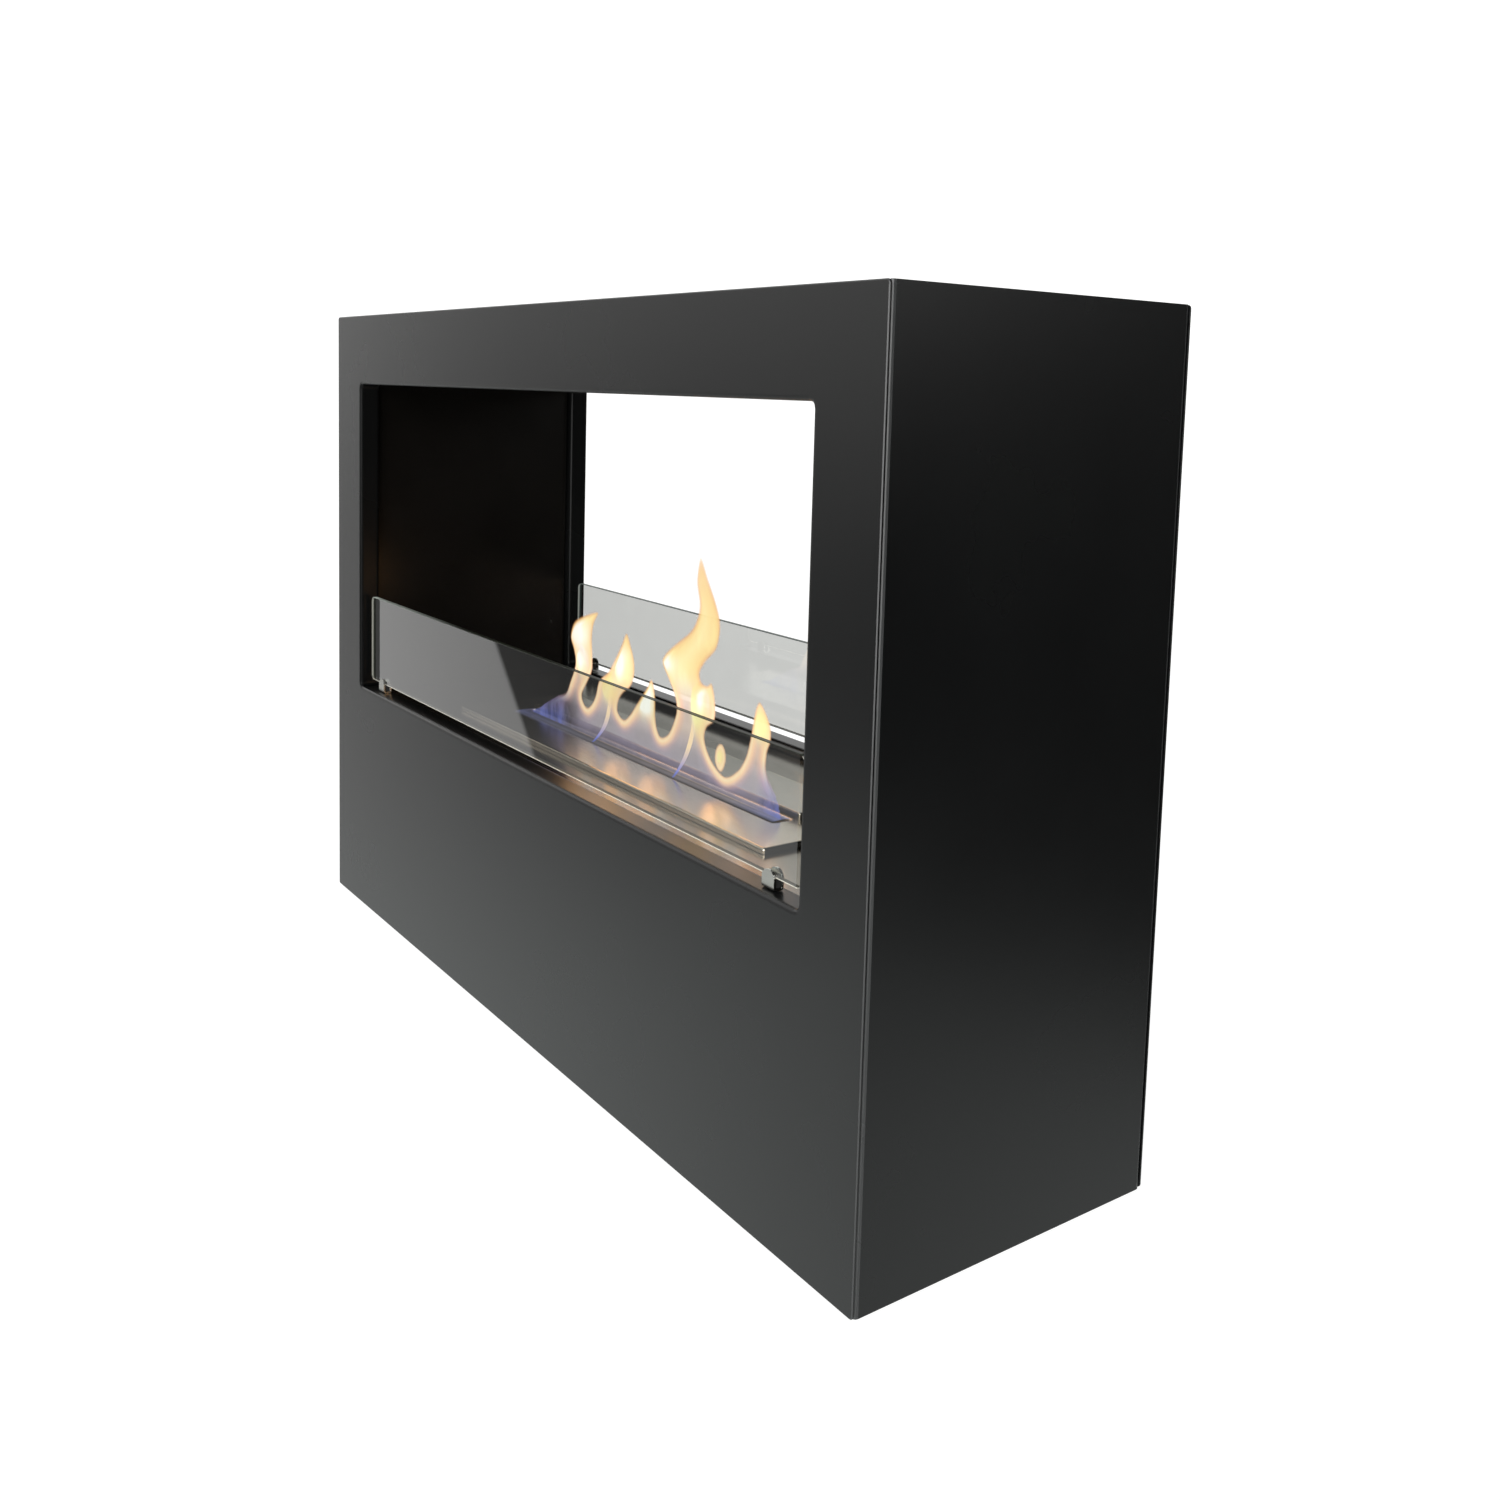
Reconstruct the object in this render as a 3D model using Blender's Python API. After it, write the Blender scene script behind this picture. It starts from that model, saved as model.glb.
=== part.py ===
"""Freestanding see-through bioethanol fireplace, modelled as its separate sheet-metal pieces.

Frame: metres, +Z up, origin on the floor under the middle of the cabinet. The cabinet's front
looks along -Y and its width runs along X. Run with: blender --background --python part.py
"""

import math

import bmesh
import bpy
from mathutils import Vector

MM = 0.001

# Fits and bends that every sheet piece shares
FIT_GAP = 0.3 * MM
CUT_OVERRUN = 4 * MM
BEND_RADIUS = 3.5 * MM
BEND_STEPS = 3
CORNER_STEPS = 3

# Cabinet
CABINET_WIDTH = 1000 * MM
CABINET_DEPTH = 300 * MM
CABINET_HEIGHT = 700 * MM
CASING_SHEET = 2 * MM
FACE_CORNER_RADIUS = 3 * MM
FACE_EDGE_ROUND = 0.8 * MM
FOOT_PROUD = 1.5 * MM
SIDE_FLANGE = 20 * MM
SIDE_FLANGE_RELIEF = 21 * MM
TRAY_FLANGE = 18 * MM
TRAY_CORNER_RADIUS = 5 * MM
BASE_RECESS = 3 * MM

# Opening through the front and rear panels
STILE_WIDTH = 74 * MM
HEAD_HEIGHT = 79 * MM
OPENING_SILL = 265 * MM
OPENING_CORNER_RADIUS = 5 * MM
RETURN_DEPTH = 23 * MM
FOLD_HEIGHT = 22 * MM

# Firebox between the two openings
FIREBOX_RECESS = 10 * MM
LINER_SHEET = 1.5 * MM
LINER_BEND_RADIUS = 2.5 * MM

# Burner that drops into the hearth
BURNER_LENGTH = 586 * MM
BURNER_DEPTH = 144 * MM
BURNER_OFFSET = -10 * MM
BURNER_SHEET = 1.5 * MM
BURNER_BEND_RADIUS = 2.2 * MM
BURNER_RIM = 5.2 * MM
BURNER_CORNER_RADIUS = 3.2 * MM
SLOT_END_MARGIN = 51 * MM
SLOT_FRONT_MARGIN = 47.5 * MM
SLOT_WIDTH = 20 * MM
SLOT_CORNER_RADIUS = 2 * MM
COLLAR_DEPTH = 7 * MM
TANK_END_MARGIN = 31 * MM
TANK_SIDE_MARGIN = 24 * MM
TANK_HEIGHT = 62 * MM
TANK_HEAD_SPACE = 20.2 * MM
TANK_FLANGE = 9 * MM
TANK_BEND_RADIUS = 3 * MM
TANK_CORNER_RADIUS = 6 * MM
HEARTH_CUT_CLEARANCE = 5 * MM
HEARTH_CUT_RADIUS = 8 * MM
WOOL_CORNER_RADIUS = 5 * MM
RETAINER_SHEET = 1 * MM
RETAINER_HOLE_RADIUS = 3 * MM
RETAINER_HOLE_PITCH = 22 * MM
RETAINER_ROW_PITCH = 13 * MM
RETAINER_ROWS = 2
COVER_END_LAP = 7 * MM
COVER_FRONT_LAP = 1.5 * MM
COVER_DEPTH = 57 * MM
COVER_HEIGHT = 6.5 * MM
COVER_SHEET = 1.2 * MM
COVER_BEND_RADIUS = 1.6 * MM
COVER_CORNER_RADIUS = 2.4 * MM
COVER_REST_GAP = 2.5 * MM
GUIDE_END_INSET = 49 * MM
GUIDE_RADIUS = 2.5 * MM
GUIDE_CLEARANCE = 0.5 * MM
GUIDE_HEAD_RADIUS = 4.5 * MM
GUIDE_HEAD_HEIGHT = 1.5 * MM

# Glass panes and the clips that hold them
GLASS_SIDE_GAP = 9 * MM
GLASS_HEIGHT = 98 * MM
GLASS_THICKNESS = 5 * MM
GLASS_SETBACK = 10 * MM
GLASS_LIFT = 10 * MM
GLASS_CORNER_RADIUS = 6 * MM
GLASS_ARRIS = 0.5 * MM
CLIP_END_INSET = 37 * MM
CLIP_WIDTH = 15 * MM
CLIP_HEIGHT = 15.5 * MM
CLIP_SHEET = 1.8 * MM
CLIP_BEND_RADIUS = 2.4 * MM
CLIP_ARCH_STEPS = 10
CLIP_PAD_MARGIN = 1 * MM

# Feet
FOOT_RADIUS = 15 * MM
FOOT_TAPER = 1.5 * MM
FOOT_INSET_X = 60 * MM
FOOT_INSET_Y = 42 * MM
FOOT_STUD_RADIUS = 3 * MM
FOOT_STUD_ABOVE_NUT = 2 * MM
FOOT_NUT_FLATS = 10 * MM
FOOT_NUT_HEIGHT = 4 * MM

# Small fixings
SCREW_RADIUS = 2 * MM
SCREW_HEAD_RADIUS = 3.6 * MM
SCREW_HEAD_HEIGHT = 2.2 * MM
SCREW_HEAD_CROWN = 0.7 * MM
SCREW_TIP_OUT = 3 * MM
LINER_SCREW_END_INSET = 106 * MM
ROUND_SIDES = 24
FIXING_SIDES = 12

# Places worked out from the sizes above
HALF_WIDTH = CABINET_WIDTH / 2
HALF_DEPTH = CABINET_DEPTH / 2
PANEL_HEIGHT = CABINET_HEIGHT - FOOT_PROUD
PANEL_MIDDLE_Z = FOOT_PROUD + PANEL_HEIGHT / 2
OPENING_TOP = CABINET_HEIGHT - HEAD_HEIGHT
OPENING_HEIGHT = OPENING_TOP - OPENING_SILL
OPENING_MIDDLE_Z = (OPENING_TOP + OPENING_SILL) / 2
HALF_OPENING = HALF_WIDTH - STILE_WIDTH
PANEL_BACK_Y = HALF_DEPTH - CASING_SHEET
RETURN_END_Y = HALF_DEPTH - RETURN_DEPTH
LINER_FACE_Y = RETURN_END_Y - FIT_GAP
LINER_FLANGE = FOLD_HEIGHT - FIREBOX_RECESS
HEARTH_TOP = OPENING_SILL - FIREBOX_RECESS
CEILING_FACE_Z = OPENING_TOP + FIREBOX_RECESS
WALL_FACE_X = HALF_OPENING + FIREBOX_RECESS
HALF_LINER = WALL_FACE_X + LINER_FLANGE
FIXING_OFFSET = FIREBOX_RECESS + (LINER_FLANGE + LINER_BEND_RADIUS) / 2
SCREW_HOLE_RADIUS = SCREW_RADIUS + FIT_GAP
PLATE_TOP = FIT_GAP + BURNER_RIM
PLATE_UNDERSIDE = PLATE_TOP - BURNER_SHEET
TANK_TOP = PLATE_UNDERSIDE - FIT_GAP
TANK_FLOOR = TANK_TOP - TANK_HEIGHT
TANK_LENGTH = BURNER_LENGTH - 2 * TANK_END_MARGIN
TANK_WIDTH = BURNER_DEPTH - 2 * TANK_SIDE_MARGIN
WOOL_BOTTOM = TANK_FLOOR + BURNER_SHEET + FIT_GAP
WOOL_TOP = TANK_TOP - TANK_HEAD_SPACE
SLOT_LENGTH = BURNER_LENGTH - 2 * SLOT_END_MARGIN
SLOT_FRONT_Y = SLOT_FRONT_MARGIN - BURNER_DEPTH / 2
SLOT_MIDDLE_Y = SLOT_FRONT_Y + SLOT_WIDTH / 2
SLOT_REAR_Y = SLOT_FRONT_Y + SLOT_WIDTH
COVER_LENGTH = SLOT_LENGTH + 2 * COVER_END_LAP
COVER_MIDDLE_Y = SLOT_REAR_Y + COVER_REST_GAP + COVER_DEPTH / 2
COVER_TRAVEL = COVER_REST_GAP + SLOT_WIDTH + COVER_FRONT_LAP
GUIDE_SLOT_RADIUS = GUIDE_RADIUS + GUIDE_CLEARANCE
GLASS_LENGTH = 2 * (HALF_OPENING - GLASS_SIDE_GAP)
GLASS_MIDDLE_Y = HALF_DEPTH - GLASS_SETBACK - GLASS_THICKNESS / 2
GLASS_BOTTOM = OPENING_SILL + GLASS_LIFT
CLIP_INNER = GLASS_THICKNESS / 2 + FIT_GAP
CLIP_FOOT = OPENING_SILL + FIT_GAP
BASE_UNDERSIDE = FOOT_PROUD + BASE_RECESS
FOOT_X = HALF_WIDTH - FOOT_INSET_X
FOOT_Y = HALF_DEPTH - FOOT_INSET_Y

RIGHT_ANGLE = math.pi / 2
HEXAGON_SIDE_ANGLE = math.pi / 3
SMOOTH_LIMIT = math.radians(40)
CORNER_SIGNS = ((1, 1), (-1, 1), (-1, -1), (1, -1))
FINISHES = {}


def clear_scene():
    """Remove every object, so the model stands alone in the file."""
    for thing in list(bpy.data.objects):
        bpy.data.objects.remove(thing, do_unlink=True)


def finish(name, color, roughness, metallic=0.0, transmission=0.0):
    """One Principled material, kept by name."""
    material = bpy.data.materials.new(name)
    material.use_nodes = True
    shader = material.node_tree.nodes["Principled BSDF"]
    shader.inputs["Base Color"].default_value = (*color, 1.0)
    shader.inputs["Roughness"].default_value = roughness
    shader.inputs["Metallic"].default_value = metallic
    shader.inputs["Transmission Weight"].default_value = transmission
    FINISHES[name] = material


def make_finishes():
    """The finishes of the real pieces."""
    finish("black_powder_coat", (0.022, 0.023, 0.024), 0.45)
    finish("black_heat_paint", (0.012, 0.012, 0.012), 0.4)
    finish("brushed_stainless", (0.56, 0.55, 0.52), 0.32, metallic=1.0)
    finish("polished_stainless", (0.7, 0.7, 0.68), 0.12, metallic=1.0)
    finish("clear_glass", (0.86, 0.93, 0.9), 0.02, transmission=1.0)
    finish("black_rubber", (0.015, 0.015, 0.015), 0.8)
    finish("ceramic_wool", (0.82, 0.8, 0.75), 0.95)
    finish("zinc_plate", (0.5, 0.51, 0.52), 0.35, metallic=1.0)


# Outlines and profiles

def rounded_rectangle(half_x, half_y, radius):
    """Plan points of a rectangle with round corners, anticlockwise."""
    points = []
    for corner, (sign_x, sign_y) in enumerate(CORNER_SIGNS):
        middle_x = sign_x * (half_x - radius)
        middle_y = sign_y * (half_y - radius)
        for step in range(CORNER_STEPS + 1):
            angle = (corner + step / CORNER_STEPS) * RIGHT_ANGLE
            points.append((middle_x + radius * math.cos(angle), middle_y + radius * math.sin(angle)))
    return points


def circle(radius, sides):
    """Plan points of a circle, anticlockwise."""
    turns = [2 * math.pi * side / sides for side in range(sides)]
    return [(radius * math.cos(turn), radius * math.sin(turn)) for turn in turns]


def hexagon(across_flats, sides):
    """Plan points of a hexagon, spread so that it can face a circle of as many sides."""
    points = []
    for side in range(sides):
        turn = 2 * math.pi * side / sides
        half_side = HEXAGON_SIDE_ANGLE / 2
        from_flat = (turn + half_side) % HEXAGON_SIDE_ANGLE - half_side
        reach = across_flats / 2 / math.cos(from_flat)
        points.append((reach * math.cos(turn), reach * math.sin(turn)))
    return points


def folded_sheet(path, sheet, bend_radius):
    """Cross-section of a sheet folded along a path of square corners.

    The path is one surface of the sheet and the metal lies to its left. Each bend has its
    outer radius on the outside of the turn. Returns the path's side, then the other side back.
    """
    corners = [Vector(point) for point in path]
    headings = [(after - before).normalized() for before, after in zip(corners, corners[1:])]
    lefts = [Vector((-heading.y, heading.x)) for heading in headings]
    near_side = [corners[0]]
    far_side = [corners[0] + lefts[0] * sheet]
    for corner, heading, turned in zip(corners[1:-1], headings, headings[1:]):
        turns_left = heading.x * turned.y - heading.y * turned.x > 0
        near_radius = bend_radius if turns_left else bend_radius - sheet
        far_radius = bend_radius - sheet if turns_left else bend_radius
        middle = corner + (turned - heading) * near_radius
        for step in range(BEND_STEPS + 1):
            angle = RIGHT_ANGLE * step / BEND_STEPS
            outward = heading * math.sin(angle) - turned * math.cos(angle)
            near_side.append(middle + outward * near_radius)
            far_side.append(middle + outward * far_radius)
    near_side.append(corners[-1])
    far_side.append(corners[-1] + lefts[-1] * sheet)
    return [tuple(point) for point in near_side + far_side[::-1]]


def pan_section(depth, sheet, bend_radius):
    """Cross-section of a pan's turned-up edge, from the floor's outside round to its inside."""
    floor_inset = 2 * bend_radius
    return folded_sheet([(-floor_inset, 0.0), (0.0, 0.0), (0.0, depth)], sheet, bend_radius)[1:-1]


# Solids

def add_rings(mesh, rings, closed=False):
    """Skin rings of equally many points. Open skins get a cap at each end."""
    rows = [[mesh.verts.new(point) for point in ring] for ring in rings]
    following = rows[1:] + rows[:1] if closed else rows[1:]
    for near, far in zip(rows, following):
        for index in range(len(near)):
            after = (index + 1) % len(near)
            mesh.faces.new((near[index], near[after], far[after], far[index]))
    if not closed:
        mesh.faces.new(rows[0])
        mesh.faces.new(rows[-1])


def new_piece(name, finish_name, mesh, smooth=False):
    """Turn the working mesh into a named object with its finish."""
    bmesh.ops.recalc_face_normals(mesh, faces=mesh.faces)
    data = bpy.data.meshes.new(name)
    mesh.to_mesh(data)
    mesh.free()
    if smooth:
        data.shade_smooth()
        data.set_sharp_from_angle(angle=SMOOTH_LIMIT)
    data.materials.append(FINISHES[finish_name])
    piece = bpy.data.objects.new(name, data)
    bpy.context.collection.objects.link(piece)
    return piece


def piece_from_rings(name, finish_name, rings, closed=False, smooth=False):
    """One solid skinned over its rings."""
    mesh = bmesh.new()
    add_rings(mesh, rings, closed)
    return new_piece(name, finish_name, mesh, smooth)


def prism_rings(outline, start, end, axis):
    """Two rings that carry an outline along X, Y or Z."""
    places = {
        "X": lambda u, v, reach: (reach, u, v),
        "Y": lambda u, v, reach: (u, reach, v),
        "Z": lambda u, v, reach: (u, v, reach),
    }
    place = places[axis]
    return [[place(u, v, reach) for u, v in outline] for reach in (start, end)]


def box_rings(low, high):
    """Two rings of a square block between its lowest and highest corners."""
    outline = [(low[0], low[1]), (high[0], low[1]), (high[0], high[1]), (low[0], high[1])]
    return prism_rings(outline, low[2], high[2], "Z")


def pan_rings(half_x, half_y, corner_radius, profile, middle=(0.0, 0.0)):
    """Rings of a pan: a wall profile of (offset, height) carried round a rounded rectangle."""
    rings = []
    for offset, height in profile:
        plan = rounded_rectangle(half_x + offset, half_y + offset, corner_radius + offset)
        rings.append([(middle[0] + x, middle[1] + y, height) for x, y in plan])
    return rings


def turned_rings(profile, sides):
    """Rings of a turned solid from its (radius, height) profile."""
    return [[(x, y, height) for x, y in circle(radius, sides)] for radius, height in profile]


def cutter(name, ring_sets):
    """A hidden tool made of separate solids, for taking holes out of a piece."""
    mesh = bmesh.new()
    for rings in ring_sets:
        add_rings(mesh, rings)
    bmesh.ops.recalc_face_normals(mesh, faces=mesh.faces)
    data = bpy.data.meshes.new(name)
    mesh.to_mesh(data)
    mesh.free()
    tool = bpy.data.objects.new(name, data)
    tool.hide_render = True
    tool.display_type = "WIRE"
    bpy.context.collection.objects.link(tool)
    return tool


def carve(piece, ring_sets, operation="DIFFERENCE"):
    """Cut the piece with a tool that moves with it."""
    tool = cutter(piece.name + "_tool_" + str(len(piece.modifiers)), ring_sets)
    tool.parent = piece
    boolean = piece.modifiers.new("cut", "BOOLEAN")
    boolean.operation = operation
    boolean.object = tool


def hole_rings(middle, radius, length, axis):
    """A round tool centred on a point, along X, Y or Z."""
    offsets = {"X": (1, 2, 0), "Y": (0, 2, 1), "Z": (0, 1, 2)}
    across, up, along = offsets[axis]
    outline = [(middle[across] + u, middle[up] + v) for u, v in circle(radius, FIXING_SIDES)]
    start = middle[along] - length / 2
    return prism_rings(outline, start, start + length, axis)


def centred_row(count, pitch):
    """Places at an even pitch, centred on zero."""
    return [(index - (count - 1) / 2) * pitch for index in range(count)]


def joint_axis(name, location, parent=None):
    """An empty on a joint's axis, which carries the pieces that move on it."""
    empty = bpy.data.objects.new(name, None)
    empty.location = location
    empty.parent = parent
    empty.empty_display_size = SIDE_FLANGE
    bpy.context.collection.objects.link(empty)
    return empty


# Casing

def liner_screw_places():
    """Where the firebox screws go through the folds, as (x, z)."""
    low_z = OPENING_SILL - FIXING_OFFSET
    high_z = OPENING_TOP + FIXING_OFFSET
    side_x = HALF_OPENING + FIXING_OFFSET
    reach = HALF_OPENING - LINER_SCREW_END_INSET
    across = (-reach, reach)
    return {
        "hearth": [(x, low_z) for x in across],
        "ceiling": [(x, high_z) for x in across],
        "left": [(-side_x, OPENING_MIDDLE_Z)],
        "right": [(side_x, OPENING_MIDDLE_Z)],
    }


def clip_places():
    """Where the glass clips stand along a pane."""
    reach = GLASS_LENGTH / 2 - CLIP_END_INSET
    return (-reach, reach)


def opening_panel(name, angle):
    """A face panel whose opening is returned inwards and folded back once more.

    The cross-section runs from the panel's edge over the face, round the lip, along the
    return and up its end fold, then back along the sheet's other side. Each of its points
    becomes a ring round the opening, and its two ends follow the panel's own outline.
    """
    section = folded_sheet(
        [(HALF_WIDTH, 0.0), (0.0, 0.0), (0.0, -RETURN_DEPTH), (FOLD_HEIGHT, -RETURN_DEPTH)],
        CASING_SHEET, BEND_RADIUS)
    rings = [face_outline(0.0, FACE_EDGE_ROUND), face_outline(FACE_EDGE_ROUND, 0.0)]
    for offset, depth in section[1:-1]:
        plan = rounded_rectangle(
            HALF_OPENING + offset, OPENING_HEIGHT / 2 + offset, OPENING_CORNER_RADIUS + offset)
        rings.append([(x, -HALF_DEPTH - depth, OPENING_MIDDLE_Z + z) for x, z in plan])
    rings.append(face_outline(0.0, CASING_SHEET))
    panel = piece_from_rings(name, "black_powder_coat", rings, closed=True)
    hole_length = 2 * CASING_SHEET + CUT_OVERRUN
    holes = []
    for places in liner_screw_places().values():
        for x, z in places:
            holes.append(hole_rings((x, -RETURN_END_Y, z), SCREW_HOLE_RADIUS, hole_length, "Y"))
    for x in clip_places():
        middle = (x, -GLASS_MIDDLE_Y, OPENING_SILL)
        holes.append(hole_rings(middle, SCREW_HOLE_RADIUS, hole_length, "Z"))
    carve(panel, holes)
    panel.rotation_euler.z = angle


def face_outline(inset, back):
    """The panel's outer outline, drawn in by an inset and set back from the face."""
    plan = rounded_rectangle(
        HALF_WIDTH - inset, PANEL_HEIGHT / 2 - inset, FACE_CORNER_RADIUS - inset)
    return [(x, -HALF_DEPTH + back, PANEL_MIDDLE_Z + z) for x, z in plan]


def side_panel(name, angle):
    """A side of the casing, folded in behind the front and rear panels."""
    outer_y = PANEL_BACK_Y - FIT_GAP
    inner_x = HALF_WIDTH - SIDE_FLANGE
    path = [(inner_x, -outer_y), (HALF_WIDTH, -outer_y), (HALF_WIDTH, outer_y), (inner_x, outer_y)]
    section = folded_sheet(path, CASING_SHEET, BEND_RADIUS)
    panel = piece_from_rings(
        name, "black_powder_coat", prism_rings(section, FOOT_PROUD, CABINET_HEIGHT, "Z"))
    relief_low_x = inner_x - CUT_OVERRUN
    relief_high_x = HALF_WIDTH - CASING_SHEET
    relief_y = outer_y + CUT_OVERRUN
    reliefs = [
        box_rings((relief_low_x, -relief_y, FOOT_PROUD - CUT_OVERRUN),
                  (relief_high_x, relief_y, FOOT_PROUD + SIDE_FLANGE_RELIEF)),
        box_rings((relief_low_x, -relief_y, CABINET_HEIGHT - SIDE_FLANGE_RELIEF),
                  (relief_high_x, relief_y, CABINET_HEIGHT + CUT_OVERRUN)),
    ]
    carve(panel, reliefs)
    panel.rotation_euler.z = angle


def casing_tray(name, height, way):
    """The top or base of the casing: a tray whose folded edges nest inside the four panels."""
    section = pan_section(TRAY_FLANGE, CASING_SHEET, BEND_RADIUS)
    profile = [(offset, height + way * rise) for offset, rise in section]
    rings = pan_rings(
        HALF_WIDTH - CASING_SHEET - FIT_GAP, PANEL_BACK_Y - FIT_GAP, TRAY_CORNER_RADIUS, profile)
    return piece_from_rings(name, "black_powder_coat", rings)


def base_panel():
    """The base tray, drilled for the feet."""
    base = casing_tray("base_panel", BASE_UNDERSIDE, 1.0)
    holes = []
    for x, y in foot_places():
        holes.append(hole_rings(
            (x, y, BASE_UNDERSIDE), FOOT_STUD_RADIUS + FIT_GAP, 2 * CASING_SHEET + CUT_OVERRUN, "Z"))
    carve(base, holes)


def foot_places():
    """The four feet, as (x, y)."""
    return [(sign_x * FOOT_X, sign_y * FOOT_Y) for sign_x, sign_y in CORNER_SIGNS]


def make_feet():
    """Rubber pads with a stud through the base, held by nuts inside the casing."""
    corners = ("rear_right", "rear_left", "front_left", "front_right")
    pad_top = BASE_UNDERSIDE - FIT_GAP
    nut_bottom = BASE_UNDERSIDE + CASING_SHEET + FIT_GAP
    nut_top = nut_bottom + FOOT_NUT_HEIGHT
    profile = [
        (FOOT_RADIUS - FOOT_TAPER, 0.0),
        (FOOT_RADIUS, pad_top),
        (FOOT_STUD_RADIUS, pad_top),
        (FOOT_STUD_RADIUS, nut_top + FOOT_STUD_ABOVE_NUT),
    ]
    outer = hexagon(FOOT_NUT_FLATS, FIXING_SIDES)
    bore = circle(FOOT_STUD_RADIUS + FIT_GAP, FIXING_SIDES)
    faces = ((outer, nut_bottom), (outer, nut_top), (bore, nut_top), (bore, nut_bottom))
    nut_rings = [[(x, y, height) for x, y in outline] for outline, height in faces]
    for corner, (x, y) in zip(corners, foot_places()):
        foot = piece_from_rings(
            "foot_" + corner, "black_rubber", turned_rings(profile, ROUND_SIDES), smooth=True)
        nut = piece_from_rings("foot_nut_" + corner, "zinc_plate", nut_rings, closed=True)
        for piece in (foot, nut):
            piece.location = (x, y, 0.0)


# Firebox

def liner_channel(face, outward):
    """Section of a sheet between the two folds, as (y, height of its surface).

    Its visible face lies at the given place, and its front and rear edges turn away from
    the firebox, the way that outward points.
    """
    path = [(-LINER_FACE_Y, LINER_FLANGE), (-LINER_FACE_Y, 0.0),
            (LINER_FACE_Y, 0.0), (LINER_FACE_Y, LINER_FLANGE)]
    section = folded_sheet(path, LINER_SHEET, LINER_BEND_RADIUS)
    return [(y, face + outward * rise) for y, rise in section]


def liner_holes(places):
    """Clearance holes for one firebox sheet's screws, through its front and rear flanges."""
    length = 2 * LINER_SHEET + CUT_OVERRUN
    flanges = (-LINER_FACE_Y, LINER_FACE_Y)
    return [hole_rings((x, y, z), SCREW_HOLE_RADIUS, length, "Y") for x, z in places for y in flanges]


def make_firebox():
    """Hearth, ceiling and two side walls, recessed behind the returned lips."""
    places = liner_screw_places()
    for name, face, outward in (("hearth", HEARTH_TOP, -1.0), ("ceiling", CEILING_FACE_Z, 1.0)):
        rings = prism_rings(liner_channel(face, outward), -HALF_LINER, HALF_LINER, "X")
        sheet = piece_from_rings("firebox_" + name, "black_heat_paint", rings)
        cuts = liner_holes(places[name])
        if name == "hearth":
            cuts.append(burner_cut_rings())
        carve(sheet, cuts)
    for name, outward in (("left", -1.0), ("right", 1.0)):
        outline = [(x, y) for y, x in liner_channel(outward * WALL_FACE_X, outward)]
        rings = prism_rings(outline, HEARTH_TOP + FIT_GAP, CEILING_FACE_Z - FIT_GAP, "Z")
        wall = piece_from_rings("firebox_" + name + "_wall", "black_heat_paint", rings)
        carve(wall, liner_holes(places[name]))


def burner_cut_rings():
    """The tool for the opening in the hearth that the burner hangs in."""
    below = HEARTH_TOP - LINER_SHEET - CUT_OVERRUN
    profile = [(0.0, below), (0.0, HEARTH_TOP + CUT_OVERRUN)]
    return pan_rings(
        TANK_LENGTH / 2 + HEARTH_CUT_CLEARANCE, TANK_WIDTH / 2 + HEARTH_CUT_CLEARANCE,
        HEARTH_CUT_RADIUS, profile, (0.0, BURNER_OFFSET))


def screw_profile(grip):
    """A pan-head screw from its head's top down to its tip; its seat is at height zero."""
    crown = SCREW_HEAD_HEIGHT - SCREW_HEAD_CROWN
    return [
        (SCREW_HEAD_RADIUS - SCREW_HEAD_CROWN, SCREW_HEAD_HEIGHT),
        (SCREW_HEAD_RADIUS, crown),
        (SCREW_HEAD_RADIUS, 0.0),
        (SCREW_RADIUS, 0.0),
        (SCREW_RADIUS, -grip),
    ]


def liner_screws():
    """Screws that hold the firebox sheets to the folds, with their heads inside the casing."""
    seat = LINER_FACE_Y - LINER_SHEET - FIT_GAP
    profile = screw_profile(LINER_SHEET + CASING_SHEET + SCREW_TIP_OUT)
    for sheet, places in liner_screw_places().items():
        for number, (x, z) in enumerate(places, 1):
            for where, way in (("front", -1.0), ("rear", 1.0)):
                name = "_".join((sheet, "screw", where, str(number)))
                screw = piece_from_rings(
                    name, "zinc_plate", turned_rings(profile, FIXING_SIDES), smooth=True)
                screw.location = (x, way * seat, z)
                screw.rotation_euler.x = way * RIGHT_ANGLE


# Burner

def make_burner():
    """The burner unit, which lifts out of the hearth, and its sliding cover."""
    lift_axis = joint_axis("burner_lift_axis", (0.0, BURNER_OFFSET, HEARTH_TOP))
    for piece in (burner_top_plate(), burner_tank(), ceramic_wool_pad(), wool_retainer()):
        piece.parent = lift_axis
    slide_axis = joint_axis("cover_slide_axis", (0.0, COVER_MIDDLE_Y, PLATE_TOP + FIT_GAP), lift_axis)
    for piece in [burner_cover()] + cover_guides():
        piece.parent = slide_axis


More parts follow.
